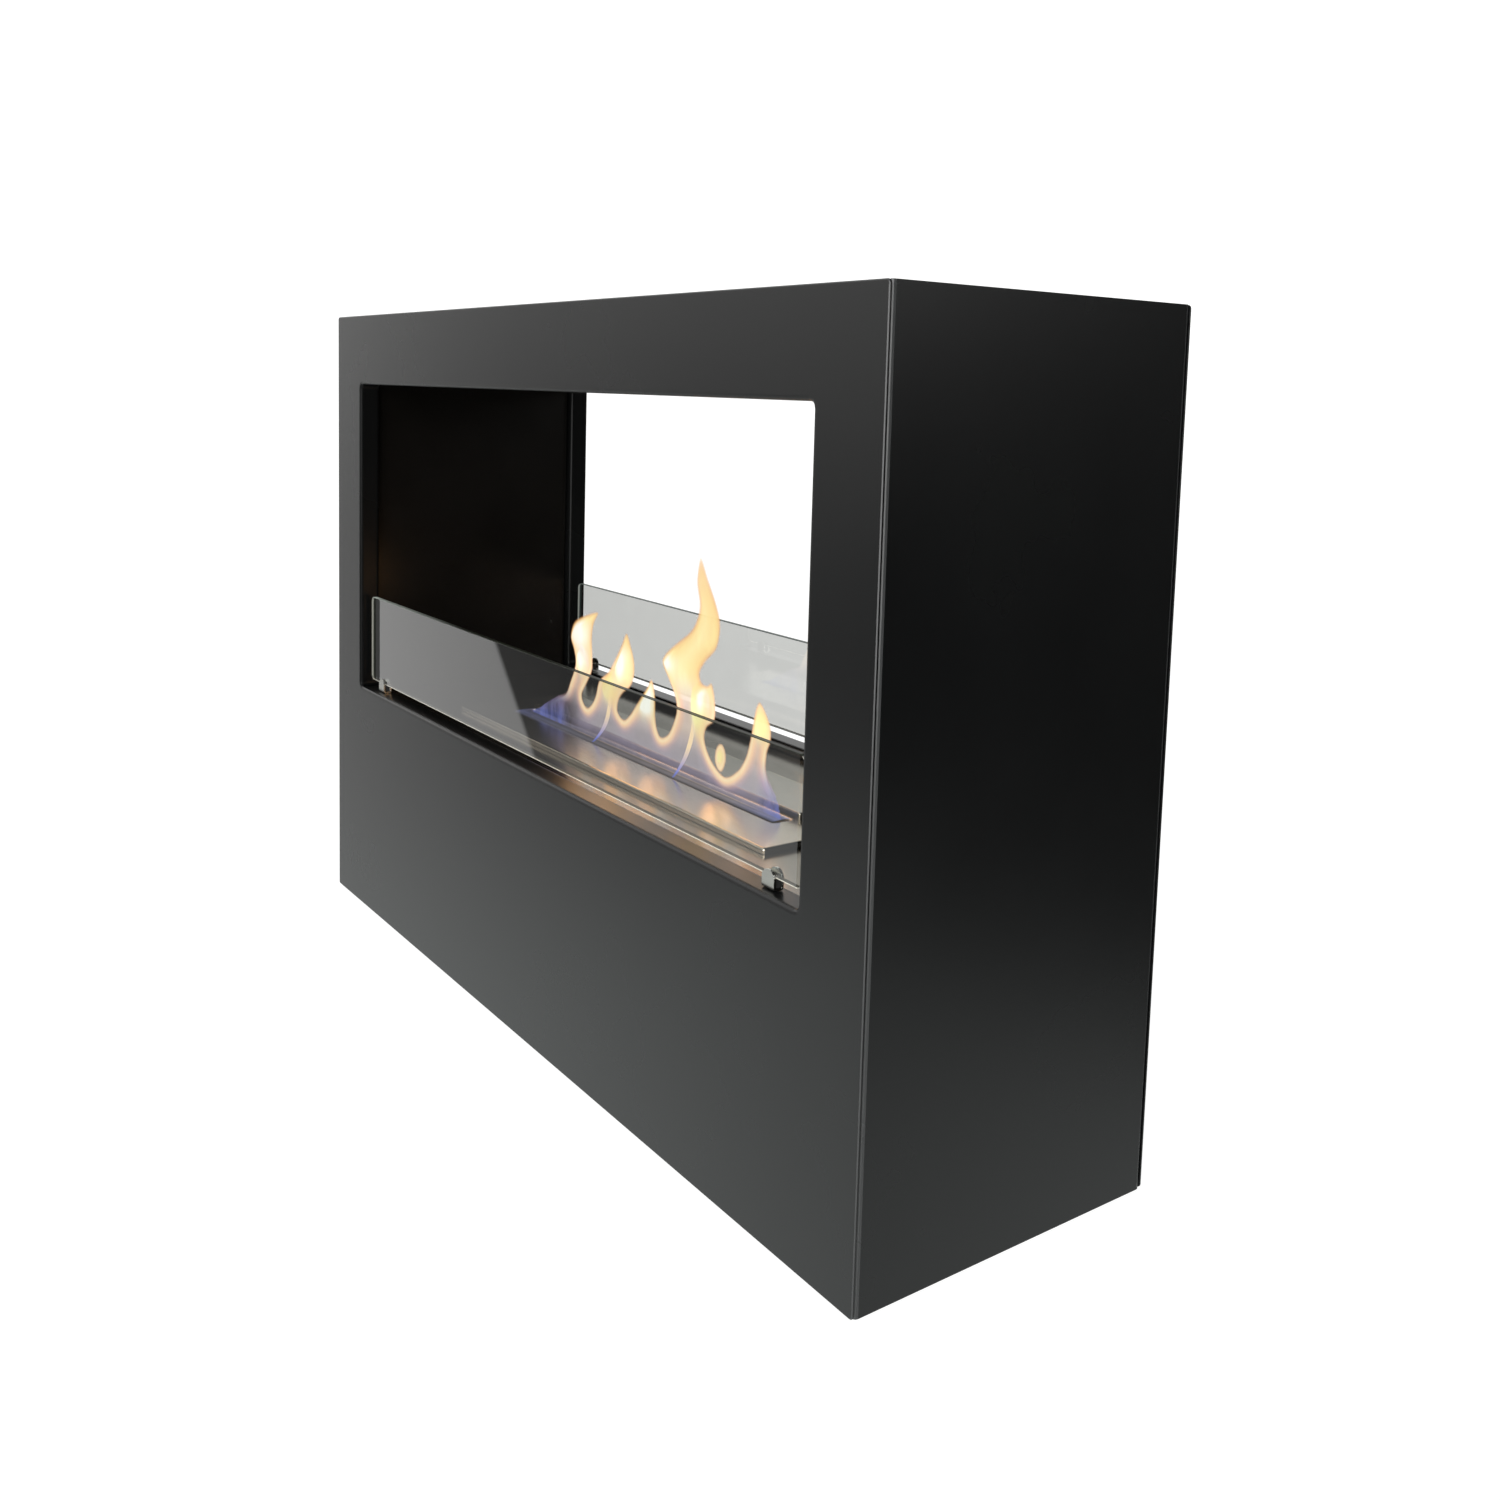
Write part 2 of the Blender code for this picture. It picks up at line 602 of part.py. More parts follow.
def burner_top_plate():
    """The stainless plate: a rim turned down all round and a collar turned down in the slot."""
    outer_path = [(0.0, FIT_GAP), (0.0, PLATE_TOP), (-BURNER_CORNER_RADIUS, PLATE_TOP)]
    outer = folded_sheet(outer_path, BURNER_SHEET, BURNER_BEND_RADIUS)
    slot_path = [(BURNER_BEND_RADIUS, PLATE_TOP), (0.0, PLATE_TOP), (0.0, PLATE_TOP - COLLAR_DEPTH)]
    collar = folded_sheet(slot_path, BURNER_SHEET, BURNER_BEND_RADIUS)
    half = len(outer) // 2
    outer_face = outer[:half - 1]
    outer_back = outer[half + 1:]
    slot_rings = pan_rings(
        SLOT_LENGTH / 2, SLOT_WIDTH / 2, SLOT_CORNER_RADIUS, collar[1:-1], (0.0, SLOT_MIDDLE_Y))
    face_rings = pan_rings(BURNER_LENGTH / 2, BURNER_DEPTH / 2, BURNER_CORNER_RADIUS, outer_face)
    back_rings = pan_rings(BURNER_LENGTH / 2, BURNER_DEPTH / 2, BURNER_CORNER_RADIUS, outer_back)
    plate = piece_from_rings(
        "burner_top_plate", "brushed_stainless", face_rings + slot_rings + back_rings, closed=True)
    carve(plate, [guide_slot_rings(x) for x in guide_places()])
    return plate


def guide_places():
    """Where the cover's guide studs stand along it."""
    reach = COVER_LENGTH / 2 - GUIDE_END_INSET
    return (-reach, reach)


def guide_slot_rings(x):
    """The tool for a short slot across the plate, as long as the cover's travel."""
    half_run = COVER_TRAVEL / 2
    profile = [(0.0, PLATE_UNDERSIDE - CUT_OVERRUN), (0.0, PLATE_TOP + CUT_OVERRUN)]
    return pan_rings(
        GUIDE_SLOT_RADIUS, half_run + GUIDE_SLOT_RADIUS, GUIDE_SLOT_RADIUS - FIT_GAP,
        profile, (x, COVER_MIDDLE_Y - half_run))


def burner_tank():
    """The fuel tank: a deep pan with a narrow flange under the top plate."""
    path = [
        (-TANK_CORNER_RADIUS, TANK_FLOOR),
        (0.0, TANK_FLOOR),
        (0.0, TANK_TOP - BURNER_SHEET),
        (TANK_FLANGE, TANK_TOP - BURNER_SHEET),
    ]
    section = folded_sheet(path, BURNER_SHEET, TANK_BEND_RADIUS)[1:-1]
    rings = pan_rings(TANK_LENGTH / 2, TANK_WIDTH / 2, TANK_CORNER_RADIUS, section)
    return piece_from_rings("burner_tank", "brushed_stainless", rings)


def ceramic_wool_pad():
    """The absorbent block that fills the lower part of the tank."""
    half_x = TANK_LENGTH / 2 - BURNER_SHEET - TANK_BEND_RADIUS
    half_y = TANK_WIDTH / 2 - BURNER_SHEET - TANK_BEND_RADIUS
    rings = pan_rings(half_x, half_y, WOOL_CORNER_RADIUS, [(0.0, WOOL_BOTTOM), (0.0, WOOL_TOP)])
    return piece_from_rings("ceramic_wool_pad", "ceramic_wool", rings)


def wool_retainer():
    """The perforated sheet that holds the wool down under the slot."""
    half_x = TANK_LENGTH / 2 - BURNER_SHEET - FIT_GAP
    half_y = TANK_WIDTH / 2 - BURNER_SHEET - FIT_GAP
    bottom = WOOL_TOP + FIT_GAP
    profile = [(0.0, bottom), (0.0, bottom + RETAINER_SHEET)]
    rings = pan_rings(half_x, half_y, WOOL_CORNER_RADIUS, profile)
    retainer = piece_from_rings("wool_retainer", "brushed_stainless", rings)
    columns = int((SLOT_LENGTH - 2 * RETAINER_HOLE_RADIUS) / RETAINER_HOLE_PITCH) + 1
    length = 2 * RETAINER_SHEET + CUT_OVERRUN
    holes = []
    for row in centred_row(RETAINER_ROWS, RETAINER_ROW_PITCH):
        for x in centred_row(columns, RETAINER_HOLE_PITCH):
            middle = (x, SLOT_MIDDLE_Y + row, bottom)
            holes.append(hole_rings(middle, RETAINER_HOLE_RADIUS, length, "Z"))
    carve(retainer, holes)
    return retainer


def burner_cover():
    """The cover that slides over the slot to put the flames out."""
    section = pan_section(COVER_HEIGHT, COVER_SHEET, COVER_BEND_RADIUS)
    profile = [(offset, COVER_HEIGHT - rise) for offset, rise in section]
    rings = pan_rings(COVER_LENGTH / 2, COVER_DEPTH / 2, COVER_CORNER_RADIUS, profile)
    return piece_from_rings("burner_cover", "brushed_stainless", rings)


def cover_guides():
    """Headed studs under the cover, which run in the plate's short slots."""
    head_top = -FIT_GAP - BURNER_SHEET - GUIDE_CLEARANCE
    profile = [
        (GUIDE_RADIUS, COVER_HEIGHT - COVER_SHEET - FIT_GAP),
        (GUIDE_RADIUS, head_top),
        (GUIDE_HEAD_RADIUS, head_top),
        (GUIDE_HEAD_RADIUS, head_top - GUIDE_HEAD_HEIGHT),
    ]
    guides = []
    for hand, x in zip(("left", "right"), guide_places()):
        guide = piece_from_rings(
            "cover_guide_" + hand, "brushed_stainless", turned_rings(profile, FIXING_SIDES), smooth=True)
        guide.location.x = x
        guides.append(guide)
    return guides


# Glass and clips

def glass_pane(name):
    """A toughened pane with round corners and ground arrises, upright about its own middle."""
    half_thickness = GLASS_THICKNESS / 2
    stations = (
        (GLASS_ARRIS, -half_thickness),
        (0.0, GLASS_ARRIS - half_thickness),
        (0.0, half_thickness - GLASS_ARRIS),
        (GLASS_ARRIS, half_thickness),
    )
    rings = []
    for inset, depth in stations:
        plan = rounded_rectangle(
            GLASS_LENGTH / 2 - inset, GLASS_HEIGHT / 2 - inset, GLASS_CORNER_RADIUS - inset)
        rings.append([(x, depth, z) for x, z in plan])
    return piece_from_rings(name, "clear_glass", rings)


def glass_clip(name):
    """A polished U-shaped clip with arched ears; its foot's middle is its origin."""
    outer_y = CLIP_INNER + CLIP_SHEET
    path = [(-outer_y, CLIP_HEIGHT), (-outer_y, 0.0), (outer_y, 0.0), (outer_y, CLIP_HEIGHT)]
    section = folded_sheet(path, CLIP_SHEET, CLIP_BEND_RADIUS)
    clip = piece_from_rings(
        name, "polished_stainless", prism_rings(section, -CLIP_WIDTH / 2, CLIP_WIDTH / 2, "X"))
    reach = outer_y + CUT_OVERRUN
    carve(clip, [prism_rings(arch_outline(), -reach, reach, "Y")], "INTERSECT")
    hole_length = 2 * CLIP_SHEET + CUT_OVERRUN
    carve(clip, [hole_rings((0.0, 0.0, 0.0), SCREW_HOLE_RADIUS, hole_length, "Z")])
    return clip


def arch_outline():
    """A clip's front view: straight sides and a half-round top."""
    radius = CLIP_WIDTH / 2 + FIT_GAP
    spring = CLIP_HEIGHT - radius
    outline = [(-radius, -CUT_OVERRUN), (radius, -CUT_OVERRUN)]
    for step in range(CLIP_ARCH_STEPS + 1):
        angle = math.pi * step / CLIP_ARCH_STEPS
        outline.append((radius * math.cos(angle), spring + radius * math.sin(angle)))
    return outline


def clip_pad(name):
    """The rubber block in a clip that the pane stands on."""
    half_x = CLIP_WIDTH / 2 - CLIP_PAD_MARGIN
    half_y = CLIP_INNER - FIT_GAP
    bottom = CLIP_FOOT + CLIP_SHEET + FIT_GAP
    rings = box_rings((-half_x, -half_y, bottom), (half_x, half_y, GLASS_BOTTOM - FIT_GAP))
    return piece_from_rings(name, "black_rubber", rings)


def make_glazing():
    """Both panes with their clips, pads and screws."""
    seat = OPENING_SILL - CASING_SHEET - FIT_GAP
    profile = screw_profile(CASING_SHEET + 2 * FIT_GAP + CLIP_SHEET)
    for where, way in (("front", -1.0), ("rear", 1.0)):
        y = way * GLASS_MIDDLE_Y
        lift_axis = joint_axis(where + "_glass_lift_axis", (0.0, y, GLASS_BOTTOM + GLASS_HEIGHT / 2))
        pane = glass_pane(where + "_glass")
        pane.parent = lift_axis
        for hand, x in zip(("left", "right"), clip_places()):
            place = "_".join((where, hand))
            glass_clip("glass_clip_" + place).location = (x, y, CLIP_FOOT)
            clip_pad("clip_pad_" + place).location = (x, y, 0.0)
            screw = piece_from_rings(
                "clip_screw_" + place, "zinc_plate", turned_rings(profile, FIXING_SIDES), smooth=True)
            screw.location = (x, y, seat)
            screw.rotation_euler.x = math.pi


def main():
    clear_scene()
    make_finishes()
    opening_panel("front_panel", 0.0)
    opening_panel("rear_panel", math.pi)
    side_panel("right_side_panel", 0.0)
    side_panel("left_side_panel", math.pi)
    casing_tray("top_panel", CABINET_HEIGHT, -1.0)
    base_panel()
    make_feet()
    make_firebox()
    liner_screws()
    make_burner()
    make_glazing()


main()
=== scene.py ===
"""Looks of the freestanding bioethanol fireplace: finishes, glass, flames and a plain studio."""

import math

import bmesh
import bpy
import numpy as np
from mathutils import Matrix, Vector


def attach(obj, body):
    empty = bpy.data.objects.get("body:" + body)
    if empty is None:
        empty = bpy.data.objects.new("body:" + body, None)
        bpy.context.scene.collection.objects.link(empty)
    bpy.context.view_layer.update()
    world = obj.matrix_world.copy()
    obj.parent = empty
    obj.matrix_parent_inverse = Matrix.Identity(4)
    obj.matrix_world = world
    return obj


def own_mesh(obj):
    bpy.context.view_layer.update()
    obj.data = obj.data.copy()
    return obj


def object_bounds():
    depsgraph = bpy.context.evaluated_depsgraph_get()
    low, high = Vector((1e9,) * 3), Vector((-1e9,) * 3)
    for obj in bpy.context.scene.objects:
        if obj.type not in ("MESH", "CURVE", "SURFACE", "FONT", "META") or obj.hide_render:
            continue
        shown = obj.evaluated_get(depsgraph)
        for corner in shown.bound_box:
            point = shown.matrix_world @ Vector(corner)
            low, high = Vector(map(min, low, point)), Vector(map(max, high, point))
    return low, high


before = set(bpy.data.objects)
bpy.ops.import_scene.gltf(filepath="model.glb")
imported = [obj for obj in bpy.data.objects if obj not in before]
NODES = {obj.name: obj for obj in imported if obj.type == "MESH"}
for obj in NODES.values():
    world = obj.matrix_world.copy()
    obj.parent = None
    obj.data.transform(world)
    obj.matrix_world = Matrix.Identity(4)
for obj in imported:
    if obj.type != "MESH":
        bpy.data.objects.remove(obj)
CAD_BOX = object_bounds()
MM = 0.001


def corners_of(name):
    """The lowest and the highest corner of a carried-over piece, to the micrometre."""
    spots = np.array([vertex.co for vertex in NODES[name].data.vertices])
    return spots.min(axis=0).round(6), spots.max(axis=0).round(6)


# Node helpers

def bare_material(name):
    """A node material with only its output; returns it with its tree and surface socket."""
    material = bpy.data.materials.new(name)
    material.use_nodes = True
    tree = material.node_tree
    tree.nodes.clear()
    output = tree.nodes.new("ShaderNodeOutputMaterial")
    return material, tree, output.inputs["Surface"]


def new_material(name):
    """A node material with its Principled shader."""
    material, tree, surface = bare_material(name)
    shader = tree.nodes.new("ShaderNodeBsdfPrincipled")
    tree.links.new(shader.outputs["BSDF"], surface)
    return material, tree, shader


def add(tree, kind, **values):
    """A node with its properties and named input values set."""
    node = tree.nodes.new(kind)
    for key, value in values.items():
        if key in node.inputs:
            node.inputs[key].default_value = value
        else:
            setattr(node, key, value)
    return node


def feed(tree, node, *values):
    """Give a node its inputs in order, as numbers, colours or outputs; returns its own output."""
    for socket, value in zip(node.inputs, values):
        if isinstance(value, bpy.types.NodeSocket):
            tree.links.new(value, socket)
        elif isinstance(value, tuple):
            socket.default_value = (*value, 1.0)
        else:
            socket.default_value = value
    return node.outputs[0]


def maths(tree, operation, *values):
    """The result of a math node."""
    return feed(tree, add(tree, "ShaderNodeMath", operation=operation), *values)


def blend(tree, factor, first, second, kind="MIX"):
    """Two colours blended."""
    return feed(tree, add(tree, "ShaderNodeMixRGB", blend_type=kind), factor, first, second)


def mix_shaders(tree, share, first, second):
    """Two shaders mixed."""
    return feed(tree, tree.nodes.new("ShaderNodeMixShader"), share, first, second)


def split(tree, vector):
    """The X, Y and Z of a vector, by name."""
    node = tree.nodes.new("ShaderNodeSeparateXYZ")
    tree.links.new(vector, node.inputs["Vector"])
    return node.outputs


def coordinates(tree, scale=(1.0, 1.0, 1.0)):
    """Object coordinates stretched by a scale."""
    source = tree.nodes.new("ShaderNodeTexCoord")
    mapping = add(tree, "ShaderNodeMapping", Scale=scale)
    tree.links.new(source.outputs["Object"], mapping.inputs["Vector"])
    return mapping.outputs["Vector"]


def noise(tree, vector, scale, detail, roughness):
    """A noise texture's value."""
    node = add(tree, "ShaderNodeTexNoise", Scale=scale, Detail=detail, Roughness=roughness)
    tree.links.new(vector, node.inputs["Vector"])
    return node.outputs["Fac"]


def ramp(tree, value, stops):
    """Colours along a value, as (position, (r, g, b))."""
    node = tree.nodes.new("ShaderNodeValToRGB")
    band = node.color_ramp
    while len(band.elements) < len(stops):
        band.elements.new(0.5)
    for element, (position, color) in zip(band.elements, stops):
        element.position = position
        element.color = (*color, 1.0)
    tree.links.new(value, node.inputs["Fac"])
    return node.outputs["Color"]


def grey(tree, value, stops):
    """Shades along a value, as (position, shade)."""
    return ramp(tree, value, [(position, (shade,) * 3) for position, shade in stops])


def between(tree, value, start, end, low=0.0, high=1.0, kind="LINEAR"):
    """A value moved from the range start to end to the range low to high, and held at its ends."""
    node = add(tree, "ShaderNodeMapRange", interpolation_type=kind)
    ranges = {"From Min": start, "From Max": end, "To Min": low, "To Max": high}
    for socket, number in ranges.items():
        node.inputs[socket].default_value = number
    tree.links.new(value, node.inputs["Value"])
    return node.outputs["Result"]


def remap(tree, value, low, high):
    """A value between 0 and 1 moved to a range."""
    return between(tree, value, 0.0, 1.0, low, high)


def bump(tree, height, strength, distance, after=None):
    """A bump, on top of an earlier normal where one is given."""
    node = add(tree, "ShaderNodeBump", Strength=strength, Distance=distance)
    tree.links.new(height, node.inputs["Height"])
    if after is not None:
        tree.links.new(after, node.inputs["Normal"])
    return node.outputs["Normal"]


def face_normal(tree):
    """The X, Y and Z of the flat face's own normal."""
    return split(tree, tree.nodes.new("ShaderNodeNewGeometry").outputs["True Normal"])


def faces_along(tree, axis, limit):
    """1 on faces that look along an axis, either way, and 0 on the rest."""
    size = maths(tree, "ABSOLUTE", face_normal(tree)[axis])
    return maths(tree, "GREATER_THAN", size, limit)


def upright_bends(tree):
    """1 on the round of an upright fold, where a highlight is painted, and 0 on flat faces."""
    normal = face_normal(tree)
    slant = maths(tree, "ABSOLUTE", maths(tree, "MULTIPLY", normal["X"], normal["Y"]))
    return between(tree, slant, 0.08, 0.3)


def soft_edges(tree, radius):
    """A normal that rounds sharp edges a little."""
    return add(tree, "ShaderNodeBevel", Radius=radius, samples=4).outputs["Normal"]


# Finishes

OUTER_CORNER_X = CAD_BOX[1][0] - 50 * MM


def powder_coat():
    """Black powder coat: a fine dry texture, with a painted highlight on the outer corners' upright
    bends, and less shine in the opening.
    """
    material, tree, shader = new_material("black_powder_coat")
    plain = coordinates(tree)
    fine = noise(tree, plain, 1500.0, 3.0, 0.65)
    grain = noise(tree, plain, 420.0, 2.0, 0.5)
    cloud = noise(tree, plain, 5.0, 4.0, 0.6)
    from_middle = maths(tree, "ABSOLUTE", split(tree, plain)["X"])
    inner = maths(tree, "LESS_THAN", from_middle, OUTER_CORNER_X)
    outer = maths(tree, "SUBTRACT", 1.0, inner)
    coat = ramp(tree, cloud, [(0.3, (0.0026, 0.0028, 0.0029)), (0.7, (0.0042, 0.0044, 0.0045))])
    # The outer corners' upright bends get a lighter colour: a painted highlight along the bends.
    thin = maths(tree, "MULTIPLY", outer, upright_bends(tree))
    color = blend(tree, thin, coat, (0.06, 0.061, 0.062))
    tree.links.new(color, shader.inputs["Base Color"])
    returns = maths(tree, "MULTIPLY", inner, faces_along(tree, "X", 0.25))
    tree.links.new(remap(tree, returns, 0.36, 0.1), shader.inputs["Specular IOR Level"])
    rough = blend(tree, faces_along(tree, "Z", 0.8), remap(tree, cloud, 0.25, 0.29), (0.33,) * 3)
    tree.links.new(rough, shader.inputs["Roughness"])
    normal = bump(tree, grain, 0.1, 0.2 * MM, soft_edges(tree, 0.8 * MM))
    normal = bump(tree, fine, 0.2, 0.1 * MM, normal)
    tree.links.new(normal, shader.inputs["Normal"])
    return material


def heat_paint():
    """Satin heat-proof black, a little warmer than the casing, with dust-fine specks."""
    material, tree, shader = new_material("black_heat_paint")
    plain = coordinates(tree)
    fine = noise(tree, plain, 1100.0, 2.0, 0.6)
    cloud = noise(tree, plain, 9.0, 4.0, 0.6)
    color = ramp(tree, cloud, [(0.3, (0.0032, 0.0028, 0.0024)), (0.7, (0.005, 0.0044, 0.0038))])
    tree.links.new(color, shader.inputs["Base Color"])
    tree.links.new(remap(tree, cloud, 0.21, 0.27), shader.inputs["Roughness"])
    normal = bump(tree, fine, 0.2, 0.1 * MM, soft_edges(tree, 0.6 * MM))
    tree.links.new(normal, shader.inputs["Normal"])
    shader.inputs["Specular IOR Level"].default_value = 0.18
    return material


def brushed_steel(name, warmth, roughness, upright=1.0):
    """Stainless sheet brushed along its length, with faint smudges; upright faces can be darkened as
    painted shade.
    """
    material, tree, shader = new_material(name)
    lines = noise(tree, coordinates(tree, (6.0, 900.0, 900.0)), 2.0, 3.0, 0.7)
    smudge = noise(tree, coordinates(tree), 14.0, 3.0, 0.55)
    dark = tuple(0.8 * part for part in warmth)
    color = ramp(tree, lines, [(0.3, dark), (0.7, warmth)])
    # Faces that look along Y are multiplied darker: a painted shade, strongest on the cover's front
    # face.
    upright_painted_shade = (upright, 0.95 * upright, 0.92 * upright)
    color = blend(tree, faces_along(tree, "Y", 0.7), color, upright_painted_shade, "MULTIPLY")
    tree.links.new(color, shader.inputs["Base Color"])
    shader.inputs["Metallic"].default_value = 1.0
    shader.inputs["Anisotropic"].default_value = 0.4
    rough = remap(tree, smudge, roughness - 0.05, roughness + 0.07)
    tree.links.new(rough, shader.inputs["Roughness"])
    normal = bump(tree, lines, 0.18, 0.12 * MM, soft_edges(tree, 0.5 * MM))
    tree.links.new(normal, shader.inputs["Normal"])
    return material


def polished_steel():
    """Mirror-polished stainless with hair scratches."""
    material, tree, shader = new_material("polished_stainless")
    scratches = noise(tree, coordinates(tree, (40.0, 1400.0, 900.0)), 2.0, 2.0, 0.8)
    color = ramp(tree, scratches, [(0.3, (0.46, 0.46, 0.43)), (0.7, (0.56, 0.56, 0.52))])
    tree.links.new(color, shader.inputs["Base Color"])
    shader.inputs["Metallic"].default_value = 1.0
    tree.links.new(remap(tree, scratches, 0.16, 0.26), shader.inputs["Roughness"])
    normal = bump(tree, scratches, 0.05, 0.05 * MM, soft_edges(tree, 0.6 * MM))
    tree.links.new(normal, shader.inputs["Normal"])
    return material


def rubber():
    """Matte black rubber with a fine grain."""
    material, tree, shader = new_material("black_rubber")
    grain = noise(tree, coordinates(tree), 900.0, 3.0, 0.6)
    color = ramp(tree, grain, [(0.3, (0.008, 0.008, 0.008)), (0.7, (0.016, 0.016, 0.016))])
    tree.links.new(color, shader.inputs["Base Color"])
    tree.links.new(remap(tree, grain, 0.7, 0.85), shader.inputs["Roughness"])
    tree.links.new(bump(tree, grain, 0.3, 0.2 * MM), shader.inputs["Normal"])
    return material


def ceramic_wool():
    """Pressed ceramic fibre, off-white with loose fibres and scorched patches."""
    material, tree, shader = new_material("ceramic_wool")
    fibres = noise(tree, coordinates(tree, (60.0, 400.0, 300.0)), 2.0, 4.0, 0.7)
    burnt = noise(tree, coordinates(tree), 16.0, 3.0, 0.6)
    color = ramp(tree, burnt, [(0.35, (0.5, 0.47, 0.42)), (0.6, (0.78, 0.76, 0.7))])
    tree.links.new(color, shader.inputs["Base Color"])
    shader.inputs["Roughness"].default_value = 0.95
    tree.links.new(bump(tree, fibres, 0.6, 0.8 * MM), shader.inputs["Normal"])
    return material


def zinc():
    """Bright zinc plate with a faint yellow passivation."""
    material, tree, shader = new_material("zinc_plate")
    spots = noise(tree, coordinates(tree), 500.0, 2.0, 0.5)
    color = ramp(tree, spots, [(0.3, (0.45, 0.46, 0.44)), (0.7, (0.56, 0.56, 0.55))])
    tree.links.new(color, shader.inputs["Base Color"])
    shader.inputs["Metallic"].default_value = 1.0
    tree.links.new(remap(tree, spots, 0.3, 0.42), shader.inputs["Roughness"])
    return material


def hearth_steel():
    """Satin dark steel for the firebox floor, with soft heat marks, tinted warm brown as painted
    light from the flames.
    """
    material, tree, shader = new_material("hearth_steel")
    marks = noise(tree, coordinates(tree), 7.0, 4.0, 0.6)
    grain = noise(tree, coordinates(tree, (8.0, 700.0, 700.0)), 2.0, 2.0, 0.6)
    # The warm brown of these colours is painted light from the flames.
    color = ramp(tree, marks, [(0.3, (0.18, 0.153, 0.124)), (0.7, (0.232, 0.2, 0.166))])
    tree.links.new(color, shader.inputs["Base Color"])
    shader.inputs["Metallic"].default_value = 1.0
    tree.links.new(remap(tree, marks, 0.17, 0.23), shader.inputs["Roughness"])
    normal = bump(tree, grain, 0.1, 0.1 * MM, soft_edges(tree, 0.6 * MM))
    tree.links.new(normal, shader.inputs["Normal"])
    return material


# Glass

# The gloss of a clear face seen square on and at a slant, and its share at the pane's ends
GLOSS_SQUARE, GLOSS_SLANT = 0.1, 1.72
END_GLOSS = 0.03
END_BAND = 5.7 * MM

# The ground edges: how much they hide, their glow, which is painted light as the edges are no lamp,
# and where their painted light and shade change
RIM_COVER = 0.93
RIM_GLOW = 0.32
END_BLEND = 0.4 * MM
FOOT_BAND = 0.8 * MM
FOOT_LIT_DEPTH = (1.6 * MM, 2.2 * MM)
FOOT_SHADE = (0.05, 0.045, 0.035)
EDGE_MIDWAY = 0.55

# Both panes are the same glass, and their colours are painted light and shade. The pale edge and end
# colours and the front's bright foot are painted light. The dark far colours, the rear's dark edge
# and foot, and its darker tint are painted shade.
FRONT_GLASS = {
    "tint": (0.95, 0.97, 0.96), "edge": (0.4, 0.44, 0.4), "far": (0.014, 0.016, 0.011),
    "end": (0.3, 0.3, 0.27), "foot": (1.0, 0.95, 0.83)}
REAR_GLASS = {
    "tint": (0.79, 0.795, 0.785), "edge": (0.1, 0.12, 0.11), "far": (0.02, 0.03, 0.028),
    "end": (0.34, 0.36, 0.34), "foot": (0.02, 0.03, 0.028)}


def clear_glass(node, colors):
    """Float glass: clear faces with one gloss and faint dust, and half-clear ground edges, coloured
    with the pane's painted light and shade.
    """
    material, tree, surface = bare_material("clear_glass_" + node.split("_")[0])
    low_corner, high_corner = corners_of(node)
    plain = coordinates(tree)
    face = glass_face(tree, plain, colors["tint"], high_corner[0])
    rim = glass_rim(tree, plain, colors, low_corner, high_corner)
    whole = mix_shaders(tree, faces_along(tree, "Y", 0.9), rim, face)
    tree.links.new(whole, surface)
    return material


def glass_face(tree, plain, tint, half_length):
    """A pane's clear face, which mirrors on its outward side, but hardly at its ends."""
    dust = noise(tree, plain, 30.0, 4.0, 0.6)
    dusty = tuple(0.985 * part for part in tint)
    clear = tree.nodes.new("ShaderNodeBsdfTransparent")
    tree.links.new(ramp(tree, dust, [(0.3, dusty), (0.7, tint)]), clear.inputs["Color"])
    gloss = add(tree, "ShaderNodeBsdfGlossy", Roughness=0.0)
    slant = add(tree, "ShaderNodeLayerWeight", Blend=0.5)
    share = maths(tree, "POWER", slant.outputs["Facing"], 4.0)
    share = remap(tree, share, GLOSS_SQUARE, GLOSS_SLANT)
    inward = tree.nodes.new("ShaderNodeNewGeometry").outputs["Backfacing"]
    share = maths(tree, "MULTIPLY", share, maths(tree, "SUBTRACT", 1.0, inward))
    from_middle = maths(tree, "ABSOLUTE", split(tree, plain)["X"])
    off_ends = maths(tree, "LESS_THAN", from_middle, half_length - END_BAND)
    share = maths(tree, "MULTIPLY", share, remap(tree, off_ends, END_GLOSS, 1.0))
    return mix_shaders(tree, share, clear.outputs[0], gloss.outputs[0])


